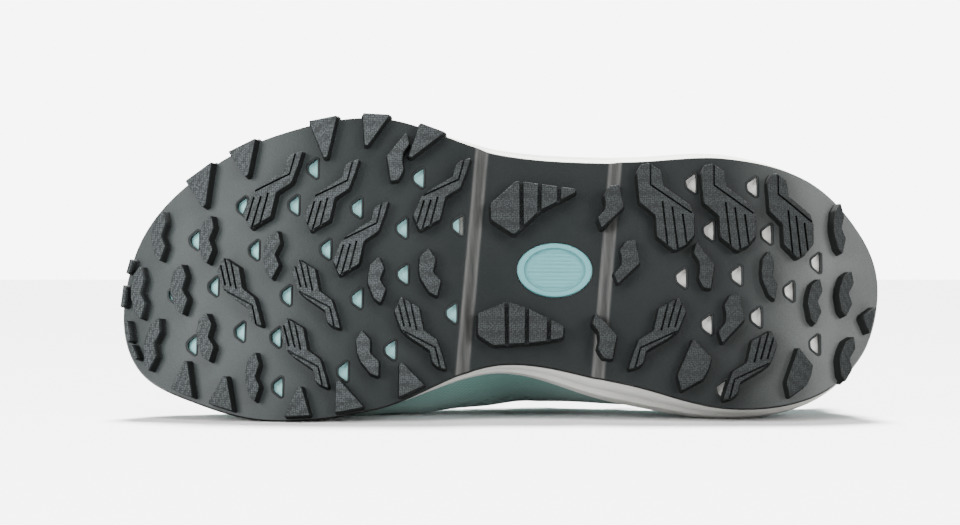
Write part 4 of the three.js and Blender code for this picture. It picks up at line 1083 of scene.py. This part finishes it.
# %% Midsole
FOOT_OUT = -1.2
SIDE_GROOVE = 1.6
POCKET_FROM, POCKET_TO = 0.548 * LENGTH, 0.965 * LENGTH
POCKET_RAISE = 1.8
POCKET_INSET = 3.6
SIDE_UP = [0.0, 0.16, 0.3, 0.4, 0.5, 0.58, 0.9, 1.0]
SIDE_OUT = [0.1, 0.3, 0.5, 0.6, 0.7, 0.85, 1.0, 1.0]
SIDE_CARVE = [0.0, 0.1, 0.0, 1.0, 1.0, 0.0, 0.0, 0.0]


def side_of_midsole(w):
    """Side curve at w from foot to top: the flare's share plus the foot's set-back, less the groove."""
    up = np.concatenate([np.linspace(0, 0.9, 34), [0.94, 0.97, 0.99, 1.0]])
    soft = np.array([0.25, 0.5, 0.25])
    carve_share = np.convolve(np.pad(np.interp(up, SIDE_UP, SIDE_CARVE), 1), soft, "valid")
    edge = np.where(up > 0.9, 1 - np.sqrt(np.clip(1 - ((up - 0.9) / 0.1) ** 2, 0, 1)), 0)
    reach = FOOT_OUT * (1 - np.clip(up / 0.16, 0, 1)) - SIDE_GROOVE * carve_share - edge
    reach = reach[None] + flare(w)[:, None] * np.interp(up, SIDE_UP, SIDE_OUT)[None]
    flat = edge_point(np.repeat(w[:, None], len(up), 1), reach)
    bottom = plate_bottom(flat[..., 0], flat[..., 1]) + PLATE + SOLE_GAP
    height = bottom * (1 - up) + foam_top(flat[..., 0]) * up
    return np.concatenate([flat, height[..., None]], -1)


def midsole_sections(rows):
    """Closed section at each row: bottom with the teal sheet's pocket, outer side, top, inner side."""
    outer = side_of_midsole(rows)
    inner = side_of_midsole(2 - rows)
    share = np.array([0.3, 0.5, 0.7])[None, :, None]
    top = outer[:, -1:] * (1 - share) + inner[:, -1:] * share
    top[..., 2] = foam_top(top[..., 0])
    inner_pocket = edge_point(2 - rows, -POCKET_INSET)[:, None]
    outer_pocket = edge_point(rows, -POCKET_INSET)[:, None]
    across = np.array([0.0, 0.001, 0.25, 0.5, 0.75, 0.999, 1.0])[None, :, None]
    flat = inner_pocket * (1 - across) + outer_pocket * across
    in_pocket = np.array([0, 1, 1, 1, 1, 1, 0])[None]
    in_pocket = in_pocket * (flat[..., 0] > POCKET_FROM - 1) * (flat[..., 0] < POCKET_TO + 1)
    height = plate_bottom(flat[..., 0], flat[..., 1]) + PLATE + SOLE_GAP + POCKET_RAISE * in_pocket
    bottom = np.concatenate([flat, height[..., None]], -1)
    return np.concatenate([bottom, outer, top, inner[:, ::-1]], 1)


new_piece("midsole_fine", closed_block(midsole_sections(sole_rows(260))), [WHITE_FOAM],
          replaces=["midsole"])

# %% [markdown]
# The upper is the same family of curves as in the CAD: at each place round the sole a Bézier rib rises
# from the foam to the opening. Folds are laid in one by one: soft troughs where the toes bend the vamp and
# round the ankle. Everything that lies on the upper is moved by the same function, so nothing parts.

# %% The upper's surface
COLLAR_HEIGHT, LIP, WALL, PADDING, OVERLAY = 100.0, 4.5, 2.4, 3.6, 1.0
SEAT_GAP = 0.4
CENTRE_HEEL, CENTRE_TOE = -0.03, -0.12
UPPER_ROUND = 648.0
# Folds: place round the shoe w, place up the rib t, reach in w, reach in t, depth in mm, lean of w with t
FOLDS = [
    (0.655, 0.62, 0.016, 0.3, 0.9, 0.1), (0.7, 0.66, 0.014, 0.26, 0.7, 0.08),
    (0.61, 0.55, 0.018, 0.22, 0.5, 0.12), (1.345, 0.62, 0.016, 0.3, 0.9, -0.1),
    (1.3, 0.66, 0.014, 0.26, 0.7, -0.08), (1.4, 0.5, 0.02, 0.25, 0.8, -0.1),
    (0.27, 0.6, 0.02, 0.24, 0.8, -0.12), (0.33, 0.52, 0.018, 0.22, 0.5, -0.1),
    (1.73, 0.6, 0.02, 0.24, 0.8, 0.12), (1.67, 0.5, 0.018, 0.22, 0.5, 0.1),
]


def upper_point(w, t):
    """Cubic Bézier rib: foot on the foam, a handle out and up, a handle above the opening, the opening."""
    foot, outward = edge_frame(w)
    foot = foot + outward * (flare(w) - LIP)[..., None]
    out = np.concatenate([outward, np.zeros(outward.shape[:-1] + (1,))], -1)
    along = rib["top_along"](w)
    middle = CENTRE_HEEL + (CENTRE_TOE - CENTRE_HEEL) * along
    low = np.concatenate([foot, (foam_top(foot[..., 0]) + SEAT_GAP)[..., None]], -1)
    across = (middle + rib["top_half"](w)) * HALF
    high = np.stack([along * LENGTH, across, rib["top_up"](w) * COLLAR_HEIGHT], -1)
    low_handle = low + out * (rib["low_out"](w) * HALF)[..., None]
    low_handle[..., 2] += rib["low_up"](w) * COLLAR_HEIGHT
    high_handle = high + out * (rib["high_out"](w) * HALF)[..., None]
    high_handle[..., 2] -= rib["high_down"](w) * COLLAR_HEIGHT
    t = t[..., None]
    return ((1 - t) ** 3 * low + 3 * (1 - t) ** 2 * t * low_handle + 3 * (1 - t) * t ** 2 * high_handle
            + t ** 3 * high)


def upper_normal(w, t):
    """Direction square to the surface: the cross product of its two tangents, turned outwards."""
    forward = upper_point(w + STEP, t) - upper_point(w - STEP, t)
    upward = upper_point(w, np.minimum(1, t + STEP)) - upper_point(w, np.maximum(0, t - STEP))
    return -unit(np.cross(forward, upward))


def folds(w, t):
    """Sum of soft troughs, each a Gaussian in w and t, with a lower ridge beside it."""
    total = np.zeros(np.broadcast(w, t).shape)
    for place_w, place_t, reach_w, reach_t, deep, lean in FOLDS:
        off = ((w % 2) - place_w - lean * (t - place_t)) / reach_w
        fade = np.exp(-((t - place_t) / reach_t) ** 2)
        total += deep * fade * (0.45 * np.exp(-(off - 1.9) ** 2) - np.exp(-off ** 2))
    return total * ease(t / 0.12) * ease((1 - t) / 0.1)


def surface(w, t, out=0.0):
    """Point of the upper moved out along its normal by out, with the folds added."""
    w, t = np.broadcast_arrays(np.asarray(w, float), np.asarray(t, float))
    return upper_point(w, t) + upper_normal(w, t) * (out + folds(w, t))[..., None]


def wall_at(w, t):
    """Wall thickness: plain wall plus the collar's padding high up around the ankle."""
    side = np.where(w % 2 <= 1, w % 2, 2 - w % 2)
    collar = 1 - ease((side - 0.4) / 0.08)
    high = ease((t - 0.5) / 0.3) * (1 - 0.55 * ease((t - 0.9) / 0.1))
    return WALL + PADDING * collar * high


def length_along(line):
    """Distance of each point from the first one, summed from step to step."""
    return np.cumsum(np.linalg.norm(np.diff(line, axis=0, prepend=line[:1]), axis=-1), 0)


def flat_uv(across, along):
    """UV rows of a grid, from its places across and along in millimetres."""
    return np.stack(np.broadcast_arrays(across, along), -1).reshape(-1, 2)


def make_upper():
    """Rings from the foot up the outside, over the rim in a half round, and down the inside."""
    count = 256
    w = np.arange(count) * 2 / count
    up = np.linspace(0, 1, 46)[:, None]
    outer = surface(w[None], up)
    inner = surface(w[None], up[::-1], -wall_at(w[None], up[::-1]))
    inner[-1, :, 2] = foam_top(inner[-1, :, 0]) + SEAT_GAP
    turn = np.linspace(0, np.pi, 9)[1:-1, None, None]
    middle = (outer[-1] + inner[0]) / 2
    rise = unit(outer[-1] - outer[-2]) * np.linalg.norm(outer[-1] - inner[0], axis=-1, keepdims=True) / 2
    rim = middle + (outer[-1] - middle) * np.cos(turn) + rise * 0.7 * np.sin(turn)
    rings = np.concatenate([outer, rim, inner])
    faces = grid_faces(len(rings), count, wrap_rows=True, wrap_columns=True)
    ring_of_face = np.repeat(np.arange(len(rings)), count)
    which = ((ring_of_face > len(outer) + 4) & (ring_of_face < len(rings) - 1)).astype(int)
    uv = flat_uv(w[None] * UPPER_ROUND / 2, length_along(rings))
    return rings, faces, which, uv


def around_seam(uv, faces, period):
    """UV of each quad's corners, where a quad that crosses the seam reads its low corners one turn on."""
    corner = uv[faces].copy()
    low = corner[..., 0] < corner[..., 0].max(1, keepdims=True) - period / 2
    corner[..., 0] += low * period
    return corner


upper_rings, upper_faces, upper_which, upper_uv = make_upper()
new_piece("upper_fine", (upper_rings, [upper_faces]), [KNIT, LINING], replaces=["upper"],
          sharp=80, corner_uv=around_seam(upper_uv, upper_faces, UPPER_ROUND), which=upper_which)

# %% [markdown]
# Overlays are windows of the same surface, lifted by their clearance and their thickness. Their borders
# curve, so each is given by where it starts and stops round the shoe and up the rib.

# %% Toe cap, counter and eyestays
STAY_SHARE = 0.78


def overlay(node_name, start, stop, low, high, shape):
    """Piece over the upper between w = start and stop and t = low(w, c) and high(w, c).

    c runs from -1 to 1 along the piece and lets the borders round off at both ends.
    """
    c = np.linspace(-1, 1, shape[0])[:, None]
    s = np.linspace(0, 1, shape[1])[None]
    w = (start + (stop - start) * (c + 1) / 2) % 2
    t = low(w, c) * (1 - s) + high(w, c) * s
    w = np.broadcast_to(w, t.shape)
    sheets = two_sheets(surface(w, t, GAP), surface(w, t, GAP + OVERLAY))
    piece = new_piece(node_name + "_film", sheets, [FILM], replaces=[node_name], sharp=50)
    bevelled(piece, 0.3)


def guard(w):
    """How far up the rib the toe cap and the counter reach, as a share."""
    return rib["guard"](w)


def cap_low(w, c):
    """Lower border of cap and counter: a tenth of the guard's height."""
    return guard(w) * (0.1 + 0 * c)


def cap_top(w, c):
    """Upper border of cap and counter: the guard's height, falling off at both ends."""
    return guard(w) * (1 - 0.3 * c ** 6)


def cap_seam(w, c):
    """Stitch line of cap and counter, a little under the upper border."""
    return cap_top(w, c) * 0.9


def stay_low(w, c):
    """Lower border of an eyestay: most of the way from the guard up to the opening."""
    return guard(w) + (1 - guard(w)) * (STAY_SHARE + 0.05 * c ** 4)


def stay_top(w, c):
    """Upper border of an eyestay: the opening, falling off a little at both ends."""
    return 1 - 0.02 * c ** 6


def stay_seam(w, c):
    """Stitch line of an eyestay, a little above the lower border."""
    return stay_low(w, c) + 0.12 * (1 - stay_low(w, c))


# Columns: name, start and stop round the shoe, lower and upper border, stitch line, grid
OVERLAYS = [
    ("toe_cap", 0.7857, 1.2143, cap_low, cap_top, cap_seam, (90, 16)),
    ("heel_counter", -0.2857, 0.2857, cap_low, cap_top, cap_seam, (90, 16)),
    ("eyestay_lateral", 0.5, 0.8929, stay_low, stay_top, stay_seam, (60, 14)),
    ("eyestay_medial", 1.1071, 1.5, stay_low, stay_top, stay_seam, (60, 14)),
]
for name, start, stop, low, high, _, grid in OVERLAYS:
    overlay(name, start, stop, low, high, grid)

# %% [markdown]
# The tongue is a padded strip under both eyestays. It crosses the throat in a low crown and runs on past
# the top eyelets, narrower and turned up a little.

# %% Tongue
TONGUE, TONGUE_CROWN, TONGUE_LIFT, TONGUE_REACH = 4.0, 5.5, 0.8, 24.0
TONGUE_HALF, TONGUE_LONG = 34, 170
PUFF, PUFF_ROWS = 0.55, 7


def tongue_surface(out):
    """Rows of the tongue from toe to top: edge, crown, edge, and then the free end."""
    v = np.linspace(0.94, 0.47, 64)[:, None]
    t = np.linspace(0.86, 1, 8)[None]
    lateral = surface(v, t, out - wall_at(v, t) - 2 * GAP)
    medial = surface(2 - v, t, out - wall_at(2 - v, t) - 2 * GAP)[:, ::-1]
    share = np.linspace(0, 1, 17)[None, 1:-1, None]
    bridge = lateral[:, -1:] * (1 - share) + medial[:, :1] * share
    bridge[..., 2] += (TONGUE_CROWN * 4 * share * (1 - share))[..., 0] * ease((0.98 - v) / 0.2)
    rows = np.concatenate([lateral, bridge, medial], 1)
    middle = rows[-1, rows.shape[1] // 2]
    before = rows[-6, rows.shape[1] // 2]
    part = np.linspace(0, 1, 16)[1:]
    ahead = np.tile(unit(middle - before), (len(part), 1))
    ahead[:, 2] += TONGUE_LIFT * part
    ahead = unit(ahead)
    narrow = np.interp(part, [0, 0.35, 0.7, 1], [1, 0.74, 0.68, 0.5])[:, None, None]
    free = middle + (rows[-1] - middle) * narrow + (ahead * TONGUE_REACH * part[:, None])[:, None]
    return np.concatenate([rows, free])


tongue_low = tongue_surface(-TONGUE)
tongue_high = tongue_surface(0.0)
across = np.linspace(-1, 1, tongue_low.shape[1])[None, :, None]
quilts = np.abs(np.sin(np.linspace(0, PUFF_ROWS * np.pi, len(tongue_low))))[:, None, None]
puff = PUFF * (1 - np.abs(across) ** 3) * quilts
thick = unit(tongue_high - tongue_low)
tongue_sheets = two_sheets(tongue_low, tongue_high + thick * (puff - 0.5))
tongue_uv = flat_uv(across[..., 0] * TONGUE_HALF, np.linspace(0, TONGUE_LONG, len(tongue_low))[:, None])
tongue = new_piece("tongue_padded", tongue_sheets, [TONGUE_KNIT], replaces=["tongue"],
                   sharp=60, uv=np.tile(tongue_uv, (2, 1)))
bevelled(tongue, 1.2, 3)

# %% [markdown]
# The insole lies in the shoe and shows through the collar. It is a soft plate that follows the foam's top
# and keeps clear of the upper's wall, so it is the sole's grid again with another edge and height.

# %% Insole
INSOLE, INSOLE_INSET = 4.0, 1.2


def insole_out(w):
    """Distance of the insole's edge from the outline: inside the upper's wall."""
    return flare(w) - LIP - WALL - INSOLE_INSET


def insole_height(up):
    """Height over the sole: the foam's top plus the gap and the given rise."""
    return lambda x, y: foam_top(x) + GAP + up


insole_rows = sole_rows(90, 0.03, 0.97)
insole_columns = np.linspace(-1, 1, 13)
insole_low = sole_grid(insole_rows, insole_columns, insole_out, insole_height(0))
insole_high = sole_grid(insole_rows, insole_columns, insole_out, insole_height(INSOLE))
insole_sheets = two_sheets(insole_low, insole_high)
insole = new_piece("insole_fine", insole_sheets, [LINING], replaces=["insole"],
                   uv=insole_sheets[0][:, :2])
bevelled(insole, 0.8, 3)

# %% [markdown]
# Eyelet rings are moulded: a half round bead whose bore is closed by a near-black cup, painted shade for the
# hole's depth. Each is a turned profile set square to the eyestay, so it sits on the film wherever the upper
# curves.

# %% Eyelets
LACE_ROWS = 6
FIRST_ROW, LAST_ROW = 0.84, 0.52
EYELET_OUTER, EYELET_INNER, EYELET_HEIGHT = 3.0, 1.6, 1.1
EYELET_LEVEL = 0.89
EYELET_STEPS = 28


def eyelet_place(row, side):
    """Place of an eyelet round the shoe and up the rib, and the direction square to the upper there."""
    v = FIRST_ROW + (LAST_ROW - FIRST_ROW) * row / (LACE_ROWS - 1)
    w = np.array(v if side == "lateral" else 2 - v)
    t = guard(w) + (1 - guard(w)) * EYELET_LEVEL
    return w, t, upper_normal(w, t)


def square_to(face):
    """Two directions across the face direction and square to each other."""
    first = unit(np.cross(face, [0, 0, 1.0]))
    return first, np.cross(face, first)


def eyelet_ring(row, side):
    """Half-round ring and its near-black cup of painted shade: a closed profile of radius and rise, turned
    about the face.
    """
    w, t, face = eyelet_place(row, side)
    base = surface(w, t, GAP + OVERLAY + 1.5 * GAP)
    turn = np.linspace(0, np.pi, 9)
    middle, half = (EYELET_OUTER + EYELET_INNER) / 2, (EYELET_OUTER - EYELET_INNER) / 2
    radius = np.concatenate([middle + half * np.cos(turn), [EYELET_INNER * 0.98, 0.05]])
    rise = np.concatenate([EYELET_HEIGHT * np.sin(turn) ** 0.8, [0.12, 0.12]])
    angle = round_angles(EYELET_STEPS)
    first, second = square_to(face)
    circle = np.cos(angle)[:, None] * first + np.sin(angle)[:, None] * second
    rings = base + radius[:, None, None] * circle[None] + rise[:, None, None] * face
    in_bore = np.arange(len(rings) - 1) >= len(turn) - 1
    which = np.concatenate([np.repeat(in_bore, EYELET_STEPS), [False, True]])
    return closed_block(rings), which


for side in ["lateral", "medial"]:
    for row in range(LACE_ROWS):
        ring_shape, ring_which = eyelet_ring(row, side)
        new_piece(f"eyelet_ring_{side}_{row + 1}", ring_shape, [RING_FILM, HOLE_SHADE],
                  replaces=[f"eyelet_{side}_{row + 1}"], sharp=70, which=ring_which)

# %% [markdown]
# The lace is one flat braid. A strand is a flat rounded section swept from eyelet to eyelet over the
# tongue, and it narrows where it dives into the bore. Where two strands cross, one passes over the other.

# %% Lace
LACE_WIDE, LACE_THICK = 5.0, 1.8
FRONT_CROWN, TOP_CROWN = 5.0, 10.0
OVER, UNDER = 1.6, -0.5


def flat_section(count, wide_power, thick_power):
    """Places across and up of a flat rounded section: powers of cosine and sine that keep their sign."""
    across, up = np.cos(round_angles(count)), np.sin(round_angles(count))
    return np.sign(across) * np.abs(across) ** wide_power, np.sign(up) * np.abs(up) ** thick_power


def swept(path, section, side, top, half_wide, half_thick):
    """Rings along a path: the section's places times half its width to the side and half its height up."""
    across, up = section
    wide = (half_wide * across)[..., None] * side[:, None]
    high = (half_thick * up)[..., None] * top[:, None]
    return path[:, None] + wide + high


def strip_uv(rings, length, wide):
    """UV of a strip's rings: once round its width and back, and along its length."""
    return flat_uv(np.linspace(0, 2 * wide, rings.shape[1])[None], length[:, None])


def lace_strand(row_a, side_a, row_b, side_b, over):
    """Rings of one strand: up out of an eyelet, over the tongue in a crown, and down into the other.

    Its section is a flat rounded shape that shrinks to the eyelet's bore at both ends. The strand that
    lies on top rises by a bell curve in the middle.
    """
    w_a, t_a, face_a = eyelet_place(row_a, side_a)
    w_b, t_b, face_b = eyelet_place(row_b, side_b)
    lift = OVERLAY + EYELET_HEIGHT + 4 * GAP + LACE_THICK / 2
    a, b = surface(w_a, t_a, lift), surface(w_b, t_b, lift)
    share = np.concatenate([np.linspace(0, 0.12, 9), np.linspace(0.13, 0.87, 34), np.linspace(0.88, 1, 9)])
    crown = FRONT_CROWN + (TOP_CROWN - FRONT_CROWN) * (row_a + row_b) / (2 * LACE_ROWS - 2)
    path = a + (b - a) * share[:, None]
    path[:, 2] += crown * 4 * share * (1 - share) + over * np.exp(-((share - 0.5) / 0.14) ** 2)
    end = np.minimum(share, 1 - share)
    dive = (lift - GAP - OVERLAY - 0.4) * (1 - ease(end / 0.075))
    face = unit(face_a + (face_b - face_a) * share[:, None])
    path -= face * dive[:, None]
    along = unit(np.gradient(path, axis=0))
    side = unit(np.cross(along, face))
    top = np.cross(side, along)
    narrow = ease(end / 0.1)[:, None]
    in_bore = EYELET_INNER * 0.75
    half_wide = in_bore + (LACE_WIDE / 2 - in_bore) * narrow
    half_thick = in_bore + (LACE_THICK / 2 - in_bore) * narrow
    rings = swept(path, flat_section(20, 0.7, 0.7), side, top, half_wide, half_thick)
    return rings, length_along(path)


strands = [lace_strand(0, "lateral", 0, "medial", 0.0)]
for row in range(LACE_ROWS - 1):
    strands.append(lace_strand(row, "lateral", row + 1, "medial", OVER))
    strands.append(lace_strand(row, "medial", row + 1, "lateral", UNDER))
lace_uv = np.concatenate([strip_uv(rings, length, LACE_WIDE) for rings, length in strands])
new_piece("lace_braid", joined([rings for rings, _ in strands]), [LACE_CLOTH],
          replaces=["lace"], sharp=60, uv=lace_uv)
lace_length = sum(length[-1] for _, length in strands)
print("lace between the eyelets, mm:", round(float(lace_length)))

# %% [markdown]
# The pull loop is webbing: a flat strip that leaves the counter, bows over the collar and goes inside.
# It is swept like the lace, so its width stays square to the heel all the way round the bow.

# %% Pull loop
LOOP_WIDE, LOOP_THICK, LOOP_RISE = 11.0, 1.4, 12.0


def pull_loop():
    """Rings of the strip along points up the heel, round a bow and down the inside."""
    outside = GAP + OVERLAY + GAP + LOOP_THICK / 2
    w = np.zeros(1)
    up = np.linspace(0.72, 0.96, 14)[:, None]
    climb = surface(w, up, outside)[:, 0]
    down = np.linspace(1, 0.93, 8)[:, None]
    inside = surface(w, down, -wall_at(w, down) - GAP - LOOP_THICK / 2)[:, 0]
    start, end = climb[-1], inside[0]
    share = np.linspace(0, 1, 26)[1:-1, None]
    radius = np.linalg.norm(end - start) / 2
    bow = np.tile((start + end) / 2, (len(share), 1))
    bow[:, 0] -= radius * np.cos(np.pi * share[:, 0])
    bow[:, 2] = start[2] + (end[2] - start[2]) * share[:, 0] + LOOP_RISE * np.sin(np.pi * share[:, 0])
    path = np.concatenate([climb, bow, inside])
    along = unit(np.gradient(path, axis=0))
    face = unit(np.stack([-along[:, 2], 0 * along[:, 0], along[:, 0]], -1))
    side = unit(np.cross(along, face))
    rings = swept(path, flat_section(24, 0.35, 0.6), side, face, LOOP_WIDE / 2, LOOP_THICK / 2)
    return rings, length_along(path)


loop_rings, loop_length = pull_loop()
new_piece("pull_loop_webbing", closed_block(loop_rings), [WEBBING], replaces=["pull_loop"],
          sharp=70, uv=strip_uv(loop_rings, loop_length, LOOP_WIDE))

# %% [markdown]
# Stitches are what makes an overlay look sewn on. Each one is a tiny capsule that lies along the seam,
# so one function can lay a whole seam from its line and the surface's normals.

# %% Stitched seams
STITCH_PITCH, STITCH_LONG, STITCH_THICK = 3.0, 2.2, 0.55
SEAM_END = 1.5
ON_FILM = GAP + OVERLAY + 0.1


def stitches(name, w, t, lift):
    """Capsules along a line on the upper, one per stitch pitch, as one mesh: five rings of six points."""
    line = surface(w, t, lift)
    place = length_along(line)
    at = np.arange(SEAM_END, place[-1] - SEAM_END, STITCH_PITCH)
    centre, ahead, face = [np.stack([np.interp(at, place, column) for column in values.T], -1)
                           for values in (line, np.gradient(line, axis=0), upper_normal(w, t))]
    ahead, face = unit(ahead), unit(face)
    side = np.cross(ahead, face)
    run_along = np.array([-1.0, -0.8, 0.0, 0.8, 1.0]) * STITCH_LONG / 2
    size = np.array([0.25, 0.8, 1.0, 0.8, 0.25]) * STITCH_THICK / 2
    angle = round_angles(6)
    circle = np.cos(angle)[:, None] * side[:, None] + np.sin(angle)[:, None] * face[:, None]
    rings = (centre[:, None, None] + ahead[:, None, None] * run_along[None, :, None, None]
             + size[None, :, None, None] * circle[:, None])
    return new_piece(name, joined(list(rings)), [THREAD], sharp=80)


seam = np.linspace(-0.93, 0.93, 300)
for name, start, stop, _, _, seam_line, _ in OVERLAYS:
    seam_w = (start + stop) / 2 + (stop - start) / 2 * seam
    stitches(f"stitches_{name}", seam_w % 2, seam_line(seam_w % 2, seam), ON_FILM)

# %% [markdown]
# The foam sheet behind the forefoot windows keeps its CAD mesh and only gets its finish: the teal foam
# painted much lighter to make up for the shade inside the windows.

# %% CAD nodes that stay
sheet = frame["nodes"]["forefoot_foam"].data
sheet.materials.clear()
sheet.materials.append(TEAL_SHEET_PAINTED_LIGHTER)
print("finish of the foam sheet:", sheet.materials[0].name)

# %% [markdown]
# The shoe lies on a pale studio floor. It has to whiten out where the camera sees it, yet throw little
# light back into the shadow under the sole, so seen and bounced light take their own tone.

# %% Floor
FLOOR_SEEN, FLOOR_BOUNCE = (244, 244, 244), (165, 165, 165)
FLOOR_STEPS = 64


def make_floor():
    """Flat disc of rings round the middle, level with the lowest point of the shoe."""
    radius = np.array([0.01, 0.3, 1.0, 3.0, 8.0])[:, None]
    angle = round_angles(FLOOR_STEPS)[None]
    flat = np.stack([radius * np.cos(angle), radius * np.sin(angle), cad_box[0][2] + 0 * radius * angle], -1)
    faces = [grid_faces(len(radius), FLOOR_STEPS, wrap_columns=True), np.arange(FLOOR_STEPS)[None]]
    mesh, _ = mesh_from("floor", flat.reshape(-1, 3), faces)
    mesh.shade_flat()
    paint, tree, shader, _ = finish("pale floor", FLOOR_SEEN, 0.9)
    path = node(tree, "ShaderNodeLightPath")
    tone = mix_colours(tree, path.outputs["Is Camera Ray"], linear(*FLOOR_BOUNCE), linear(*FLOOR_SEEN))
    connect(tree, tone, shader.inputs["Base Color"])
    mesh.materials.append(paint)
    face_up = linked("floor", mesh)


make_floor()
print("floor height in metres:", cad_box[0][2])

# %% [markdown]
# The photo has wide soft lights: one on each side, one in front above, and light from overhead that
# whitens the floor. Area lamps and a broad sun give the same soft edges without any window or softbox.

# %% Lights
def soft_light(name, place, aim, size, power):
    """Rectangular area light at a place in metres, turned towards a point."""
    lamp = bpy.data.lights.new(name, "AREA")
    lamp.shape = "RECTANGLE"
    lamp.size, lamp.size_y = size
    lamp.energy = power
    made = linked(name, lamp)
    made.location = place
    direction = Vector(aim) - Vector(place)
    made.rotation_euler = direction.to_track_quat("-Z", "Y").to_euler()


AIM = (0, 0, 0.06)
soft_light("left softbox", (-1.05, -1.15, 0.5), AIM, (0.7, 0.7), 24)
soft_light("right softbox", (1.0, -1.2, 0.5), AIM, (0.6, 0.7), 19)
soft_light("front top softbox", (0.0, -1.1, 1.5), AIM, (1.4, 0.6), 26)


def overhead_light(power, spread, tilt):
    """Sun from above and a little behind: it whitens the floor and drops the shadow under the sole."""
    lamp = bpy.data.lights.new("overhead", "SUN")
    lamp.energy = power
    lamp.angle = math.radians(spread)
    linked("overhead", lamp).rotation_euler = (math.radians(-tilt), 0, 0)


overhead_light(power=20.0, spread=16.0, tilt=22.0)
print("lamps in the scene:", len(bpy.data.lights))

# %% [markdown]
# Behind the floor the backdrop is nearly as white as in the photo. As a light source it stays weak,
# because the lamps already give the shoe its shape.

# %% Surroundings
LIT, SEEN = 0.22, 7.4


def studio_world():
    """White surroundings: bright where they are seen as the backdrop, softer where they light the shoe."""
    world = bpy.data.worlds.new("studio")
    world.use_nodes = True
    tree = world.node_tree
    path = node(tree, "ShaderNodeLightPath")
    strength = node(tree, "ShaderNodeMapRange", {"To Min": LIT, "To Max": SEEN})
    connect(tree, path.outputs["Is Camera Ray"], strength.inputs["Value"])
    connect(tree, strength.outputs[0], tree.nodes["Background"].inputs["Strength"])
    tree.nodes["Background"].inputs["Color"].default_value = (1, 1, 1, 1)
    bpy.context.scene.world = world


studio_world()
print("surroundings:", bpy.context.scene.world.name)

# %% [markdown]
# The photo was taken square to the sole with a long lens, from just above the floor. The camera stands a
# metre away, so the far edges of the sole shrink as little as they do there.

# %% Camera
lens = bpy.data.cameras.new("photo camera")
lens.lens = 92.87
lens.sensor_width = 36.0
lens.clip_end = 50.0
camera = linked("photo camera", lens)
camera.location = (-0.0075, -1.002, 0.0612)
camera.rotation_euler = (math.radians(90), 0, 0)
bpy.context.scene.camera = camera
print("camera distance in metres:", round(camera.location.length, 3))
